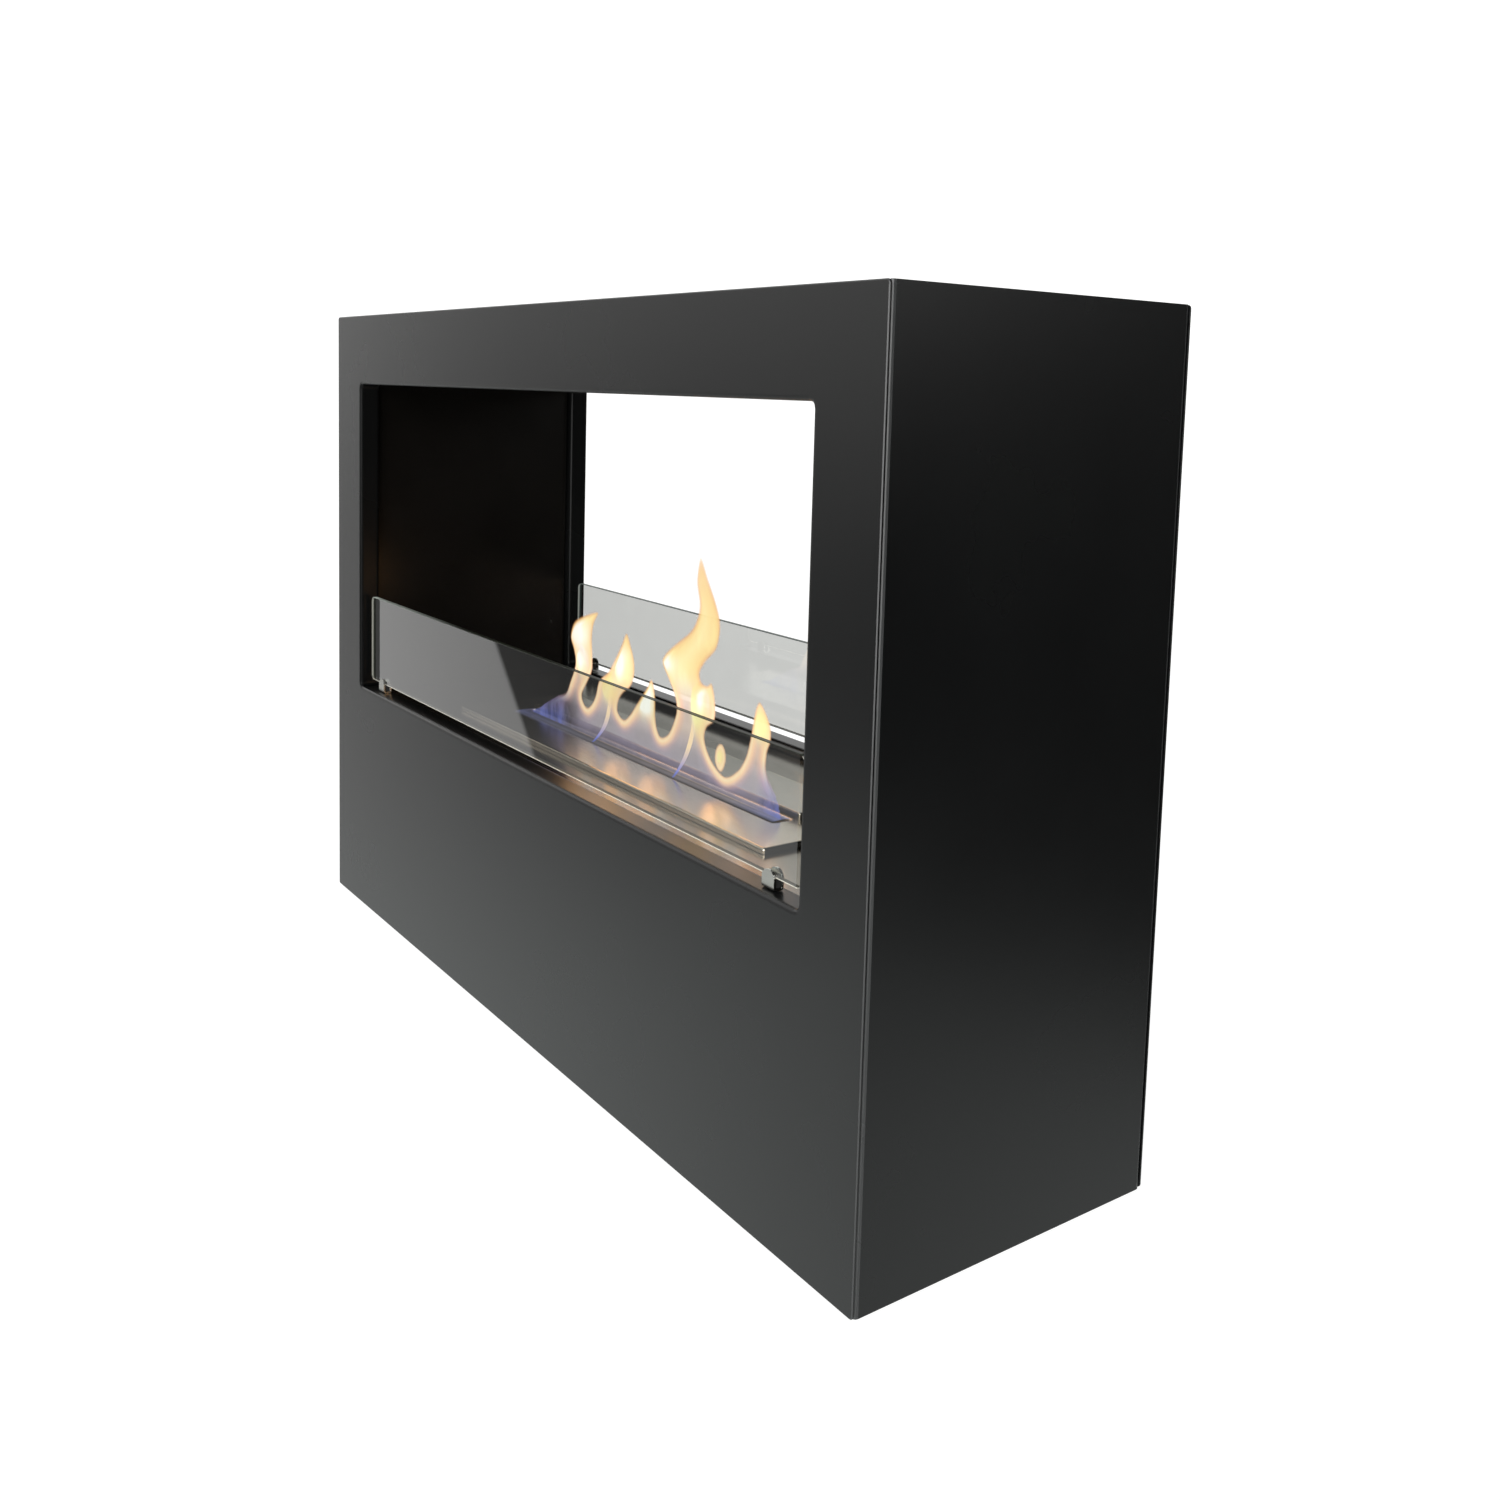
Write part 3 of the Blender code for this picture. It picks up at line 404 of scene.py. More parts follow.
def glass_rim(tree, plain, colors, low_corner, high_corner):
    """A pane's ground edges, in painted light and shade: pale near its left end, dark beyond, with a
    painted lit line at the foot.
    """
    spot = split(tree, plain)
    middle_y = (low_corner[1] + high_corner[1]) / 2
    midway = tuple(EDGE_MIDWAY * part for part in colors["edge"])
    along = between(tree, spot["X"], low_corner[0], high_corner[0])
    # Painted light and shade along the long edges and across the ends.
    long_edge = ramp(tree, along, [
        (0.0, colors["edge"]), (0.012, colors["edge"]), (0.03, midway), (0.3, colors["far"])])
    across = between(tree, spot["Y"], middle_y - END_BLEND, middle_y + END_BLEND)
    short_edge = ramp(tree, across, [(0.0, colors["end"]), (1.0, colors["far"])])
    color = blend(tree, faces_along(tree, "X", 0.5), long_edge, short_edge)
    lit, shaded = (low_corner[1] + depth for depth in FOOT_LIT_DEPTH)
    # A painted lit line at the front of the foot, with painted shade behind it.
    foot = ramp(tree, between(tree, spot["Y"], lit, shaded), [
        (0.0, colors["foot"]), (1.0, FOOT_SHADE)])
    at_foot = maths(tree, "LESS_THAN", spot["Z"], low_corner[2] + FOOT_BAND)
    color = blend(tree, at_foot, color, foot)
    # The edges glow with their own colour, a painted light.
    ground = add(tree, "ShaderNodeBsdfPrincipled", Roughness=0.35)
    ground.inputs["Emission Strength"].default_value = RIM_GLOW
    ground.inputs["Specular IOR Level"].default_value = 0.08
    for socket in ("Base Color", "Emission Color"):
        tree.links.new(color, ground.inputs[socket])
    clear = add(tree, "ShaderNodeBsdfTransparent", Color=(0.72, 0.82, 0.78, 1.0))
    return mix_shaders(tree, RIM_COVER, clear.outputs[0], ground.outputs[0])


def dress_nodes():
    """Give every carried-over piece its finish."""
    powder = powder_coat()
    paint = heat_paint()
    plate = brushed_steel("brushed_stainless", (0.56, 0.5, 0.43), 0.22)
    cover = brushed_steel("brushed_cover", (0.47, 0.43, 0.39), 0.2, 0.45)
    polished = polished_steel()
    black_rubber = rubber()
    zinc_plate = zinc()
    chosen = {
        "burner_cover": cover,
        "ceramic_wool_pad": ceramic_wool(),
        "firebox_hearth": hearth_steel(),
        "front_glass": clear_glass("front_glass", FRONT_GLASS),
        "rear_glass": clear_glass("rear_glass", REAR_GLASS),
    }
    starts = [
        ("firebox_", paint), ("glass_clip_", polished), ("clip_pad_", black_rubber),
        ("foot_nut_", zinc_plate), ("foot_", black_rubber), ("clip_screw_", zinc_plate),
        ("burner_", plate), ("cover_", plate), ("wool_", plate),
    ]
    for name, node in NODES.items():
        material = chosen.get(name)
        if material is None:
            material = next((found for start, found in starts if name.startswith(start)), None)
        if material is None:
            material = zinc_plate if "screw" in name else powder
        node.data.materials.clear()
        node.data.materials.append(material)


# Flames

# The slot's place and size, from the plate that it is cut in, and where the flames start
PLATE_LOW, PLATE_HIGH = corners_of("burner_top_plate")
FLAME_FOOT = PLATE_HIGH[2] + 0.1 * MM
SLOT_Y = PLATE_LOW[1] + 57.5 * MM
SLOT_HALF_LENGTH = PLATE_HIGH[0] - 51 * MM
SLOT_HALF_WIDTH = 9.5 * MM

# How far the flame leans for its height, and the lengths that the lean waves over
SWAY = 0.025
SWAY_ALONG = 28 * MM
SWAY_UP = 45 * MM

# The height and depth that the flame's colours are painted by
FLAME_REACH = 220 * MM
FLAME_BODY_DEPTH = 24 * MM
GAS_BLUE = (0.17, 0.21, 0.66)

# The curtain's edge as (x, z) in millimetres, from the slot's left end to its right end
CURTAIN_EDGE = [
    (-226, 262), (-208, 268), (-190, 278), (-170, 288), (-151, 296), (-141, 312), (-130, 332),
    (-133, 346), (-141, 360), (-130, 377), (-105, 388), (-80, 395), (-87, 381), (-90, 365),
    (-89, 348), (-91, 332), (-102, 318), (-115, 303), (-112, 294), (-102, 290), (-90, 298),
    (-82, 309), (-75, 324), (-56, 338), (-44, 355), (-36, 369), (-29, 381), (-19, 368),
    (-12, 354), (-11, 340), (-17, 328), (-29, 320), (-37, 310), (-38, 299), (-26, 293),
    (-14, 301), (-4, 313), (6, 325), (14, 334), (22, 343), (29, 330), (31, 308), (35, 296),
    (43, 290), (56, 296), (66, 310), (72, 324), (68, 337), (58, 349), (45, 364), (52, 374),
    (73, 388), (92, 401), (100, 413), (102, 428), (95, 450), (98, 472), (112, 453),
    (127, 432), (135, 414), (132, 392), (118, 377), (111, 366), (114, 358), (122, 356),
    (129, 359), (135, 345), (136, 327), (124, 317), (121, 304), (132, 288), (153, 278),
    (172, 287), (184, 302), (190, 322), (193, 339), (197, 351), (203, 356), (213, 348),
    (220, 337), (220, 325), (215, 314), (214, 300), (219, 289), (227, 281), (234, 272),
    (238, 262)]
SMALL_TONGUE = [
    (138, 290), (139, 299), (143, 305), (148, 307), (153, 303), (155, 295), (153, 287),
    (148, 281), (142, 283)]

# Steps of a curve between two points of an outline
EDGE_STEPS = 5

# The grid that the curtain is cut from, and its half thickness
CURTAIN_SPAN = (-230 * MM, 242.1 * MM)
CURTAIN_TOP = 475.1 * MM
CURTAIN_STEP = 1.6 * MM
CURTAIN_THIN = 0.2 * MM
CURTAIN_BULGE = 4.5 * MM
BULGE_FULL_AT = 10 * MM

# Where the whole body glows: above a share of the reach, and in soft spots
BODY_FROM, BODY_OVER = 0.3, 0.2
SPOT_GAIN = 1.6

# Soft spots as (x, z, half width, half height) in millimetres
FULL_SPOTS = [
    (18, 323, 20, 17), (113, 338, 11, 26), (206, 337, 13, 13), (-28, 350, 16, 22),
    (-52, 324, 13, 17), (-112, 338, 9, 13), (147, 295, 4, 6)]
WHITE_SPOTS = [
    (-114, 369, 16, 16), (-108, 346, 8, 14), (-30, 350, 7, 13), (18, 324, 16, 20),
    (56, 367, 13, 8), (119, 344, 4, 9)]

# Streaks as (x, z) in millimetres, from a tongue down to the slot
LEGS = [
    [(-53, 318), (-54, 300), (-58, 284), (-64, 272), (-73, 261)],
    [(102, 343), (103, 318), (100, 302), (95, 286), (89, 273), (81, 261)],
]
LEG_STEPS = 6
LEG_SIDES = 8
LEG_DEPTH_SHARE = 0.16
LEG_THIN = 0.5 * MM
LEG_SWELL = 1.25 * MM
LEG_FLATNESS = 1.5

# Lamps in the tongues, and low ones over the plate, as (x, z, power, radius) in metres and watts
FLAME_LAMPS = [
    (-0.11, 0.355, 0.12, 0.02), (-0.03, 0.34, 0.06, 0.02), (0.09, 0.37, 0.15, 0.022),
    (0.2, 0.325, 0.04, 0.03), (-0.038, 0.288, 0.008, 0.013), (0.03, 0.287, 0.009, 0.014),
    (0.142, 0.284, 0.012, 0.015)]

# The layer over the slot: its rows as (share of the way back, rise in millimetres)
BASE_HALF_LENGTH = 240 * MM
BASE_COLUMNS = 60
BASE_ROWS = [(0.0, 0.0), (0.12, 0.3), (0.3, 0.5), (0.6, 0.7), (1.0, 0.0)]
BASE_FRONT_REACH = 10.5 * MM
BASE_LEFT_SPREAD = 8 * MM


def smooth_outline(points, closed, steps):
    """A Catmull-Rom curve through points in millimetres, in metres."""
    points = np.array(points, float) * MM
    count = len(points)
    curve = []
    for index in range(count if closed else count - 1):
        if closed:
            around = [points[(index + offset) % count] for offset in (-1, 0, 1, 2)]
        else:
            around = [points[min(max(index + offset, 0), count - 1)] for offset in (-1, 0, 1, 2)]
        before, start, end, after = around
        for step in range(steps):
            t = step / steps
            turn = (2 * before - 5 * start + 4 * end - after) * t ** 2
            twist = (3 * start - before - 3 * end + after) * t ** 3
            curve.append(0.5 * (2 * start + (end - before) * t + turn + twist))
    if not closed:
        curve.append(points[-1])
    return np.array(curve)


def depth_inside(spots, outline, open_foot=False):
    """How deep each spot lies inside an outline; an open foot closes it but isn't an edge."""
    nearest = np.full(len(spots), np.inf)
    inside = np.zeros(len(spots), bool)
    ends = np.roll(outline, -1, axis=0)
    for number, (start, end) in enumerate(zip(outline, ends), 1):
        run = end - start
        if not (open_foot and number == len(outline)):
            along = np.clip(((spots - start) @ run) / max(run @ run, 1e-12), 0.0, 1.0)
            gap = spots - start - along[:, None] * run
            nearest = np.minimum(nearest, np.hypot(gap[:, 0], gap[:, 1]))
        crosses = (start[1] > spots[:, 1]) != (end[1] > spots[:, 1])
        if run[1] != 0.0:
            reach = start[0] + (spots[:, 1] - start[1]) / run[1] * run[0]
            inside ^= crosses & (spots[:, 0] < reach)
    return np.where(inside, nearest, -nearest)


def flame_height(z):
    """A level's share of the flame's reach."""
    return (z - FLAME_FOOT) / FLAME_REACH


def nearness(x, z, spots):
    """The strongest of some soft spots at a place, from 0 to 1."""
    strongest = max(
        SPOT_GAIN * math.exp(-((x / MM - mid) / wide) ** 2 - ((z / MM - level) / tall) ** 2)
        for mid, level, wide, tall in spots)
    return min(strongest, 1.0)


def fullness(x, z):
    """How much glow fills the flame's body, from 0 where only the rim shows."""
    rise = min(max((flame_height(z) - BODY_FROM) / BODY_OVER, 0.0), 1.0)
    return max(rise * rise * (3.0 - 2.0 * rise), nearness(x, z, FULL_SPOTS))


def flame_sway(x, z):
    """How far the flame leans off the slot's middle."""
    rise = max(z - FLAME_FOOT, 0.0)
    return SWAY * rise * math.sin(x / SWAY_ALONG + z / SWAY_UP)


def flame_object(name, mesh, material):
    """Put a flame mesh in the scene, carried by the burner."""
    data = bpy.data.meshes.new(name)
    mesh.to_mesh(data)
    mesh.free()
    data.shade_smooth()
    data.materials.append(material)
    flame = bpy.data.objects.new(name, data)
    bpy.context.scene.collection.objects.link(flame)
    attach(flame, "burner")
    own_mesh(flame)


def grid_squares(depth, rows, columns):
    """The squares of a grid that reach inside, each as the numbers of its four corners."""
    squares = []
    for row in range(rows - 1):
        for column in range(columns - 1):
            first = row * columns + column
            square = [first, first + 1, first + columns + 1, first + columns]
            if max(depth[index] for index in square) >= 0.0:
                squares.append(square)
    return squares


def sheet_spot(x, z, depth, side):
    """Where a corner of the curtain's grid lies, on one side of the sheet."""
    thick = min(max(depth, 0.0) / BULGE_FULL_AT, 1.0) ** 2
    bulge = CURTAIN_THIN + CURTAIN_BULGE * thick * fullness(x, z)
    return x, SLOT_Y + flame_sway(x, z) + side * bulge, z


def flame_curtain(material):
    """The sheet of flame over the slot, a thin pillow between the two sides of one outline."""
    outline = smooth_outline(CURTAIN_EDGE, False, EDGE_STEPS)
    tongue = smooth_outline(SMALL_TONGUE, True, EDGE_STEPS)
    columns = np.arange(*CURTAIN_SPAN, CURTAIN_STEP)
    rows = np.arange(FLAME_FOOT, CURTAIN_TOP, CURTAIN_STEP)
    across, up = np.meshgrid(columns, rows)
    spots = np.stack([across.ravel(), up.ravel()], axis=1)
    depth = np.maximum(depth_inside(spots, outline, True), depth_inside(spots, tongue))
    mesh = bmesh.new()
    layer = mesh.loops.layers.uv.new("flame")
    body = mesh.loops.layers.uv.new("body")
    for side in (-1.0, 1.0):
        made = {}
        for square in grid_squares(depth, len(rows), len(columns)):
            if side > 0:
                square.reverse()
            for index in square:
                if index not in made:
                    made[index] = mesh.verts.new(sheet_spot(*spots[index], depth[index], side))
            face = mesh.faces.new([made[index] for index in square])
            for loop, index in zip(face.loops, square):
                x, z = spots[index]
                share = min(max(depth[index], 0.0) / FLAME_BODY_DEPTH, 1.0)
                loop[layer].uv = (share, flame_height(z))
                loop[body].uv = (fullness(x, z), nearness(x, z, WHITE_SPOTS))
    flame_object("flame_curtain", mesh, material)


def flame_legs(material):
    """Thin streaks that run from the tongues down to the front edge of the slot."""
    turns = [2 * math.pi * side / LEG_SIDES for side in range(LEG_SIDES)]
    for number, points in enumerate(LEGS, 1):
        path = smooth_outline(points, False, LEG_STEPS)
        mesh = bmesh.new()
        layer = mesh.loops.layers.uv.new("flame")
        body = mesh.loops.layers.uv.new("body")
        rings = []
        for index, (x, z) in enumerate(path):
            share = index / (len(path) - 1)
            radius = LEG_THIN + LEG_SWELL * math.sin(math.pi * (0.15 + 0.8 * share))
            y = SLOT_Y + flame_sway(x, z) * (1 - share) - SLOT_HALF_WIDTH * share ** 2
            rings.append([mesh.verts.new((
                x + LEG_FLATNESS * radius * math.cos(turn), y + radius * math.sin(turn), z))
                for turn in turns])
        for near, far in zip(rings, rings[1:]):
            for side in range(LEG_SIDES):
                after = (side + 1) % LEG_SIDES
                face = mesh.faces.new((near[side], near[after], far[after], far[side]))
                for loop in face.loops:
                    loop[layer].uv = (LEG_DEPTH_SHARE, flame_height(loop.vert.co.z))
                    loop[body].uv = (0.0, 0.0)
        flame_object("flame_leg_%d" % number, mesh, material)


def glow_material(name):
    """A part clear, part glowing material; returns it with its tree, share socket and glow."""
    material, tree, surface = bare_material(name)
    mix = tree.nodes.new("ShaderNodeMixShader")
    clear = tree.nodes.new("ShaderNodeBsdfTransparent")
    glow = tree.nodes.new("ShaderNodeEmission")
    tree.links.new(clear.outputs[0], mix.inputs[1])
    tree.links.new(glow.outputs[0], mix.inputs[2])
    tree.links.new(mix.outputs[0], surface)
    return material, tree, mix.inputs[0], glow


def painted(tree, layer):
    """The two values that a mesh carries in one of its layers."""
    values = split(tree, add(tree, "ShaderNodeUVMap", uv_map=layer).outputs["UV"])
    return values["X"], values["Y"]


def flame_cover(tree, depth, height, full):
    """How much of what lies behind the flame it hides: rims low down, whole bodies higher up."""
    low_rim = grey(tree, depth, [
        (0.0, 0.0), (0.02, 0.25), (0.06, 0.8), (0.12, 0.95), (0.25, 0.86), (0.4, 0.44),
        (0.6, 0.28), (1.0, 0.22)])
    high_rim = grey(tree, depth, [
        (0.0, 0.0), (0.02, 0.25), (0.06, 0.8), (0.12, 0.96), (0.28, 0.92), (0.45, 0.74),
        (0.7, 0.62)])
    rim = blend(tree, grey(tree, height, [(0.12, 0.0), (0.26, 1.0)]), low_rim, high_rim)
    core = grey(tree, depth, [(0.0, 0.0), (0.04, 0.3), (0.1, 0.75), (0.2, 0.93), (0.4, 0.98)])
    root = grey(tree, height, [(0.0, 0.3), (0.04, 0.95), (0.9, 0.9), (0.97, 0.6)])
    return blend(tree, 1.0, blend(tree, full, rim, core), root, "MULTIPLY")


def blue_roots(tree, depth, height, wisp, cover):
    """Where the curtain is blue, and its cover with the haze at the slot's ends added."""
    place = split(tree, tree.nodes.new("ShaderNodeTexCoord").outputs["Object"])
    along = between(tree, place["X"], -SLOT_HALF_LENGTH, SLOT_HALF_LENGTH)
    ends = grey(tree, along, [
        (0.03, 1.0), (0.17, 0.95), (0.25, 0.0), (0.88, 0.0), (0.94, 0.75), (0.98, 1.0)])
    low = grey(tree, height, [(0.03, 1.0), (0.12, 0.7), (0.21, 0.0)])
    middle = grey(tree, depth, [(0.22, 0.0), (0.5, 0.45)])
    blue = blend(tree, 1.0, blend(tree, 1.0, ends, middle, "LIGHTEN"), low, "MULTIPLY")
    curls = grey(tree, wisp, [(0.36, 0.25), (0.62, 1.0)])
    haze = blend(tree, 1.0, blue, curls, "MULTIPLY")
    haze = blend(tree, 1.0, haze, (0.36,) * 3, "MULTIPLY")
    soft = grey(tree, along, [(0.195, 0.0), (0.255, 1.0), (0.925, 1.0), (0.965, 0.1)])
    cover = blend(tree, 1.0, cover, blend(tree, low, (1.0,) * 3, soft), "MULTIPLY")
    return blue, blend(tree, 1.0, cover, haze, "LIGHTEN")


def flame_color(tree, depth, height, full, white):
    """Orange rims round yellow bodies with warm streaks and white cores."""
    line = ramp(tree, depth, [
        (0.0, (0.95, 0.52, 0.3)), (0.06, (1.0, 0.68, 0.42)), (0.13, (1.0, 0.78, 0.5)),
        (0.25, (1.0, 0.66, 0.42)), (0.4, (0.92, 0.6, 0.45)), (0.7, (0.8, 0.63, 0.55))])
    hot = ramp(tree, depth, [
        (0.0, (0.82, 0.4, 0.17)), (0.06, (0.92, 0.56, 0.24)), (0.14, (0.97, 0.72, 0.32)),
        (0.24, (1.0, 0.84, 0.38)), (0.45, (1.0, 0.9, 0.43)), (0.7, (1.0, 0.94, 0.5))])
    warm = ramp(tree, depth, [
        (0.0, (0.82, 0.4, 0.17)), (0.2, (0.95, 0.64, 0.28)), (0.5, (0.98, 0.75, 0.36)),
        (0.9, (0.99, 0.82, 0.42))])
    streak = noise(tree, coordinates(tree, (1.0, 1.0, 0.25)), 34.0, 2.0, 0.5)
    color = blend(tree, grey(tree, streak, [(0.5, 0.0), (0.6, 0.7)]), hot, warm)
    inside = grey(tree, depth, [(0.08, 0.0), (0.3, 1.0)])
    core = blend(tree, 1.0, grey(tree, white, [(0.0, 0.0), (1.0, 1.0)]), inside, "MULTIPLY")
    color = blend(tree, core, color, (1.0, 0.99, 0.9))
    color = blend(tree, full, line, color)
    tip = grey(tree, height, [(0.78, 0.0), (0.95, 0.7)])
    return blend(tree, tip, color, (0.93, 0.62, 0.34))


def flame_material(name, roots_all_along):
    """Glowing gas: yellow-white cores, orange rims, thin peach middles and blue roots."""
    material, tree, share, glow = glow_material(name)
    depth, height = painted(tree, "flame")
    filled, white = painted(tree, "body")
    full = grey(tree, filled, [(0.0, 0.0), (1.0, 1.0)])
    wisp = noise(tree, coordinates(tree, (1.0, 1.0, 0.35)), 60.0, 3.0, 0.6)
    cover = flame_cover(tree, depth, height, full)
    if roots_all_along:
        blue = grey(tree, height, [(0.02, 1.0), (0.15, 0.0)])
    else:
        blue, cover = blue_roots(tree, depth, height, wisp, cover)
    cover = blend(tree, 1.0, cover, remap(tree, wisp, 0.7, 1.2), "MULTIPLY")
    tree.links.new(cover, share)
    color = blend(tree, blue, flame_color(tree, depth, height, full, white), GAS_BLUE)
    tree.links.new(color, glow.inputs["Color"])
    tree.links.new(between(tree, height, 0.3, 0.55, 1.2, 1.03), glow.inputs["Strength"])
    return material


def haze_material():
    """The blue-grey glow of the layer over the slot, strongest just behind its front edge."""
    material, tree, share, glow = glow_material("flame_base")
    along, across = painted(tree, "flame")
    tree.links.new(ramp(tree, along, [
        (0.0, (0.13, 0.14, 0.28)), (0.2, (0.2, 0.19, 0.25)), (0.5, (0.3, 0.26, 0.27)),
        (0.85, (0.38, 0.33, 0.36)), (1.0, (0.26, 0.28, 0.56))]), glow.inputs["Color"])
    wisp = noise(tree, coordinates(tree), 60.0, 3.0, 0.6)
    cover = grey(tree, across, [
        (0.0, 0.0), (0.14, 0.34), (0.28, 0.62), (0.36, 0.62), (0.5, 0.46), (1.0, 0.4)])
    cover = maths(tree, "MULTIPLY", cover, remap(tree, wisp, 0.75, 1.2))
    tree.links.new(cover, share)
    return material


def flame_base(material):
    """The faint blue layer of burning vapour that lies over the slot, wider at its left end."""
    mesh = bmesh.new()
    layer = mesh.loops.layers.uv.new("flame")
    back = SLOT_Y + SLOT_HALF_WIDTH
    grid = []
    for column in range(BASE_COLUMNS + 1):
        share = column / BASE_COLUMNS
        x = BASE_HALF_LENGTH * (2 * share - 1)
        front = SLOT_Y - BASE_FRONT_REACH - BASE_LEFT_SPREAD * (1 - share)
        grid.append([
            (mesh.verts.new((x, front + (back - front) * across, FLAME_FOOT + rise * MM)),
             (share, across)) for across, rise in BASE_ROWS])
    for near, far in zip(grid, grid[1:]):
        for row in range(len(BASE_ROWS) - 1):
            corners = [near[row], far[row], far[row + 1], near[row + 1]]
            face = mesh.faces.new([corner for corner, _ in corners])
            for loop, (_, place) in zip(face.loops, corners):
                loop[layer].uv = place
    flame_object("flame_base", mesh, material)


def flame_light():
    """The warm light that the tongues throw on the steel and the paint around them."""
    for number, (x, z, power, radius) in enumerate(FLAME_LAMPS, 1):
        data = bpy.data.lights.new("flame_light_%d" % number, "POINT")
        data.color = (1.0, 0.5, 0.18)
        data.energy = power
        data.shadow_soft_size = radius
        lamp = bpy.data.objects.new(data.name, data)
        lamp.location = (x, SLOT_Y, z)
        lamp.visible_camera = False
        bpy.context.scene.collection.objects.link(lamp)


# Studio

# Light from all round, with borders given by the direction that stands square on them
WALL_LOW, WALL_HIGH = 0.66, 0.95
WALL_BORDER = (-0.3537, 0.8785, -0.3211)
BESIDE_WALL = (-0.3579, 0.9338, 0.0)
WINDOW_GAIN = 0.25
POST_PLACE, POST_WIDTH, POST_DARK = 0.013, 0.013, -0.97
FLOOR_LEFT, FLOOR_MIDDLE, FLOOR_SIDE = 0.86, 0.99, 0.78
GLOW_LOW, GLOW_HIGH = 0.035, 0.08
FAR_LIGHT = 0.12
WHITE_LIGHT = (1.0, 1.0, 0.99)
FLOOR_LIGHT = (0.955, 1.0, 0.985)

# Soft lamps in the sky as (direction, where they fade in, where they are full, power)
KEY_LIGHT = ((-0.45, -0.6, 0.66), 0.6, 0.95, 1.3)
GLINT_LIGHT = ((0.783, 0.582, 0.221), 0.976, 0.99, 1.75)
FRONT_LIGHT = ((0.65, -0.747, 0.139), 0.9, 0.96, 6.3)
CORNER_LIGHT = ((-0.722, -0.662, 0.201), 0.9, 0.99, 0.3)

# The floor's rings as (radius, height), and how far the floor lies below the feet
STAGE_DROP = 0.6 * MM
STAGE_RINGS = [(4.0, 0.0), (5.0, 0.15), (5.7, 0.6), (6.0, 1.4), (6.0, 6.0)]
STAGE_SIDES = 64

CAMERA_LENS = 34.016
CAMERA_SENSOR = 36.0
CAMERA_SHIFT = -0.1451
CAMERA_PLACE = (1.18332, -0.74330, 0.62843)
CAMERA_TURN = (84.20906, -1.56282, 54.47667)


def smooth(tree, value, start, end, low=0.0, high=1.0):
    """A soft step between two values."""
    return between(tree, value, start, end, low, high, "SMOOTHSTEP")


def toward(tree, view, direction):
    """How closely a view direction points along another."""
    node = add(tree, "ShaderNodeVectorMath", operation="DOT_PRODUCT")
    node.inputs[1].default_value = direction
    tree.links.new(view, node.inputs[0])
    return node.outputs["Value"]


def crossfade(tree, share, first, second):
    """One value passing into another."""
    change = maths(tree, "SUBTRACT", second, first)
    return maths(tree, "MULTIPLY_ADD", change, share, first)


def wall_light(tree, view, x, y, z):
    """The pale wall on the left, with its window and its dark post."""
    beside = toward(tree, view, BESIDE_WALL)
    window = maths(
        tree, "MULTIPLY", smooth(tree, beside, 0.03, 0.12, 0.0, WINDOW_GAIN),
        smooth(tree, y, -0.15, -0.05, 1.0, 0.0))
    post = maths(tree, "COMPARE", beside, POST_PLACE, POST_WIDTH)
    wall = smooth(tree, toward(tree, view, WALL_BORDER), -0.002, 0.002)
    for part in (
            smooth(tree, x, -0.75, -0.3, 1.0, 0.0), smooth(tree, z, -0.12, 0.08, WALL_LOW, WALL_HIGH),
            maths(tree, "ADD", window, 1.0), maths(tree, "MULTIPLY_ADD", post, POST_DARK, 1.0)):
        wall = maths(tree, "MULTIPLY", wall, part)
    return wall


def make_world():
    """Soft white studio light, darker behind the right side where nothing is lit."""
    world = bpy.data.worlds.new("studio")
    bpy.context.scene.world = world
    world.use_nodes = True
    tree = world.node_tree
    background = tree.nodes["Background"]
    view = tree.nodes.new("ShaderNodeTexCoord").outputs["Generated"]
    x, y, z = split(tree, view)
    sideways = smooth(tree, y, -0.05, 0.05)
    below = maths(tree, "MULTIPLY_ADD", y, 0.35, z)
    ground = crossfade(
        tree, sideways, smooth(tree, z, -0.4, -0.22, 1.0, 0.0),
        smooth(tree, below, -0.2, -0.12, 1.0, 0.0))
    floor = smooth(tree, x, -0.95, -0.72, FLOOR_LEFT, FLOOR_MIDDLE)
    floor = crossfade(tree, sideways, floor, FLOOR_SIDE)
    glow = maths(tree, "MULTIPLY", smooth(tree, y, 0.45, 0.72), smooth(tree, x, 0.3, 0.5))
    glow = maths(tree, "MULTIPLY", glow, smooth(tree, z, -0.1, 0.2, GLOW_LOW, GLOW_HIGH))
    far = maths(tree, "ADD", wall_light(tree, view, x, y, z), glow)
    far = maths(tree, "ADD", far, smooth(tree, x, -0.7, 0.3, FAR_LIGHT, 0.0))
    light = crossfade(tree, ground, far, floor)
    for direction, start, full, power in (KEY_LIGHT, GLINT_LIGHT, FRONT_LIGHT, CORNER_LIGHT):
        lamp = smooth(tree, toward(tree, view, direction), start, full, 0.0, power)
        light = maths(tree, "ADD", light, lamp)
    tree.links.new(light, background.inputs["Strength"])
    cast = blend(tree, ground, WHITE_LIGHT, FLOOR_LIGHT)
    tree.links.new(cast, background.inputs["Color"])


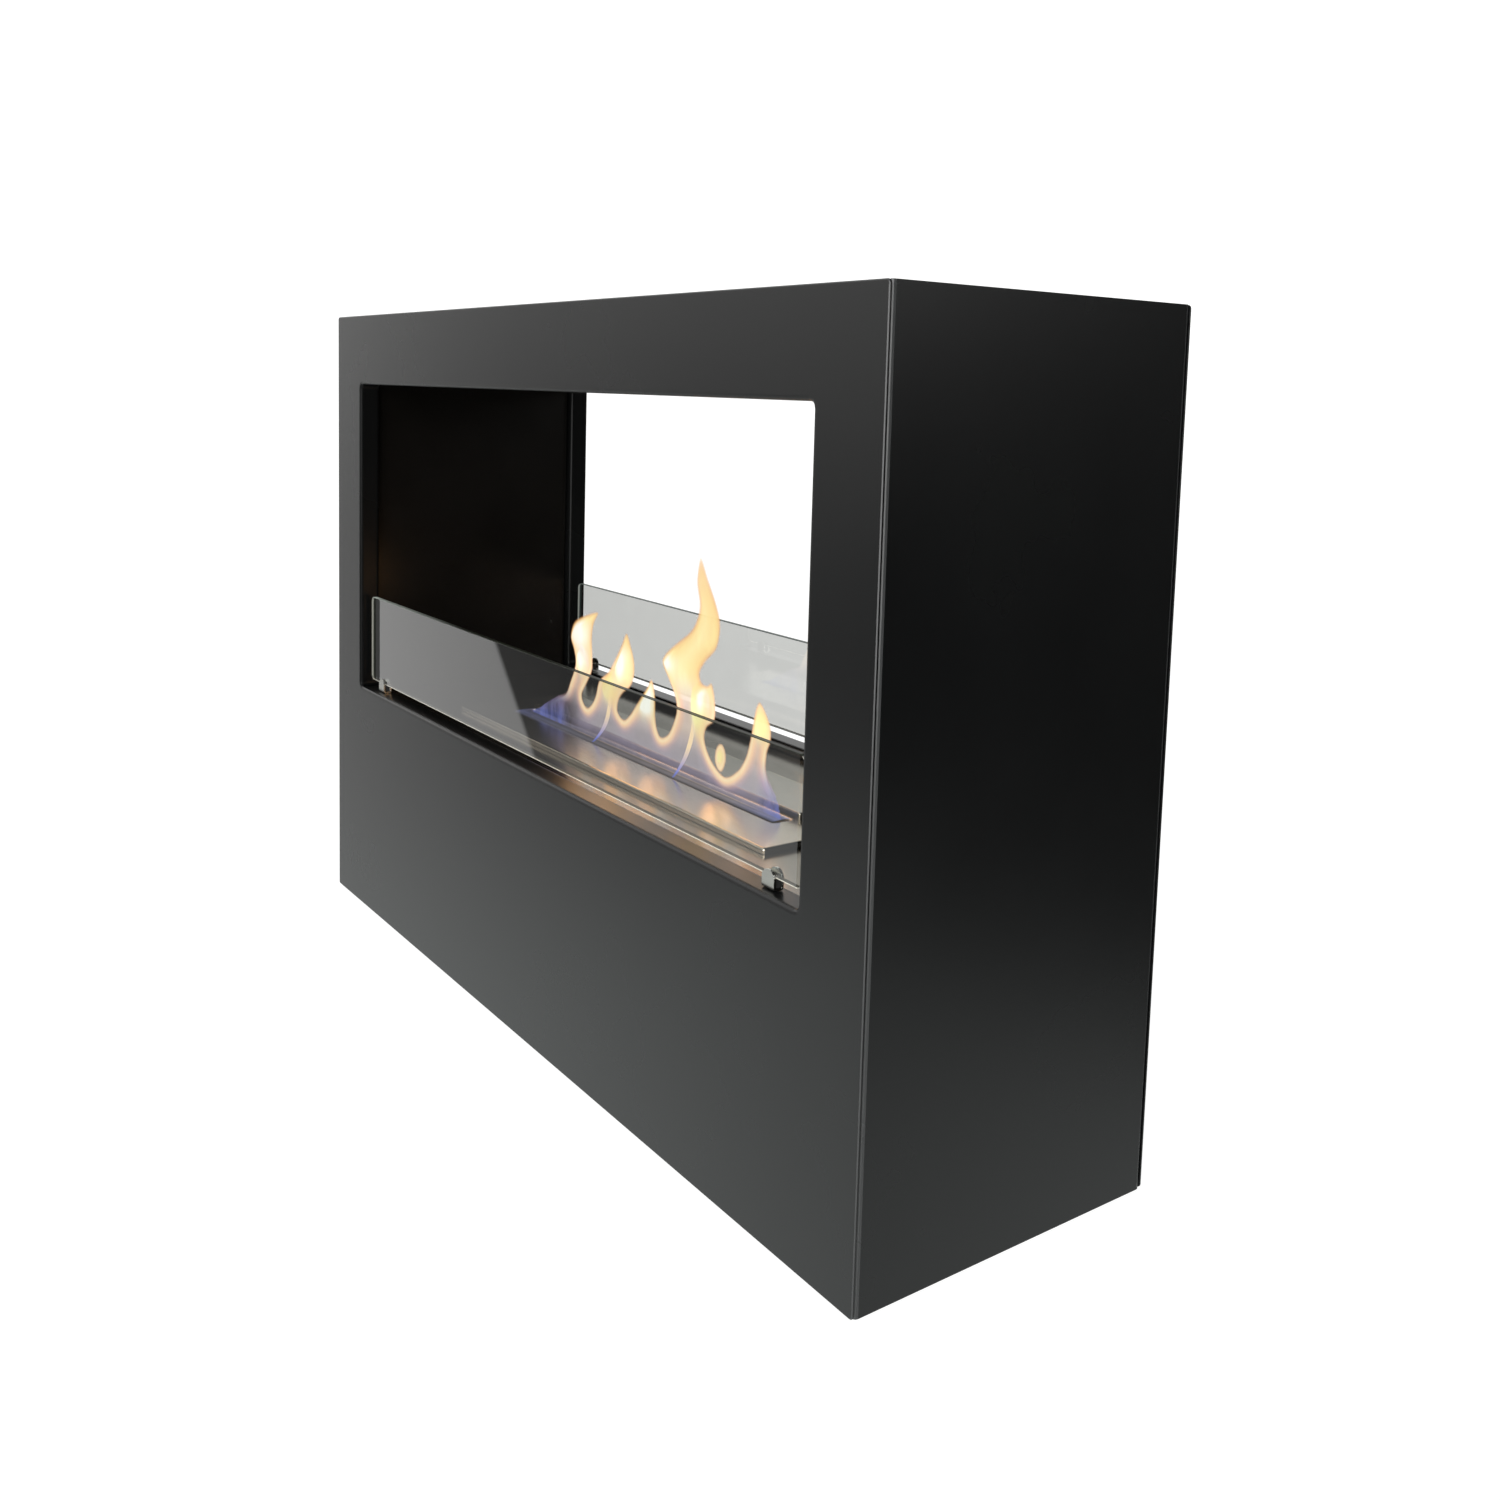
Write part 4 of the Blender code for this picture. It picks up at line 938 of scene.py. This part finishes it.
def floor_material():
    """Pale matte floor with a light of its own, as bright as the backdrop."""
    material, _, shader = new_material("pale_floor")
    shader.inputs["Base Color"].default_value = (0.2, 0.2, 0.2, 1.0)
    shader.inputs["Roughness"].default_value = 1.0
    shader.inputs["Specular IOR Level"].default_value = 0.0
    shader.inputs["Emission Color"].default_value = (1.0, 1.0, 0.995, 1.0)
    shader.inputs["Emission Strength"].default_value = 0.97
    return material


def make_stage():
    """A pale floor that runs up into a pale backdrop all round."""
    mesh = bmesh.new()
    middle = mesh.verts.new((0.0, 0.0, -STAGE_DROP))
    turns = [2 * math.pi * side / STAGE_SIDES for side in range(STAGE_SIDES)]
    rings = [
        [mesh.verts.new((
            radius * math.cos(turn), radius * math.sin(turn), height - STAGE_DROP))
         for turn in turns] for radius, height in STAGE_RINGS]
    for side in range(STAGE_SIDES):
        after = (side + 1) % STAGE_SIDES
        mesh.faces.new((middle, rings[0][side], rings[0][after]))
        for near, far in zip(rings, rings[1:]):
            mesh.faces.new((near[side], far[side], far[after], near[after]))
    data = bpy.data.meshes.new("studio_floor")
    mesh.to_mesh(data)
    mesh.free()
    data.shade_smooth()
    data.materials.append(floor_material())
    floor = bpy.data.objects.new("studio_floor", data)
    bpy.context.scene.collection.objects.link(floor)
    floor.visible_glossy = False
    floor.visible_diffuse = False
    floor.visible_shadow = False


def make_camera():
    """The photograph's viewpoint."""
    data = bpy.data.cameras.new("camera")
    data.sensor_width = CAMERA_SENSOR
    data.lens = CAMERA_LENS
    data.shift_y = CAMERA_SHIFT
    camera = bpy.data.objects.new("camera", data)
    camera.location = CAMERA_PLACE
    camera.rotation_euler = [math.radians(angle) for angle in CAMERA_TURN]
    bpy.context.scene.collection.objects.link(camera)
    bpy.context.scene.camera = camera


def main():
    """Dress the pieces, light the fire and set the studio round it."""
    dress_nodes()
    flame_curtain(flame_material("flame", False))
    flame_legs(flame_material("flame_streak", True))
    flame_base(haze_material())
    flame_light()
    make_world()
    make_stage()
    make_camera()
    bpy.context.scene.view_settings.view_transform = "Standard"


main()
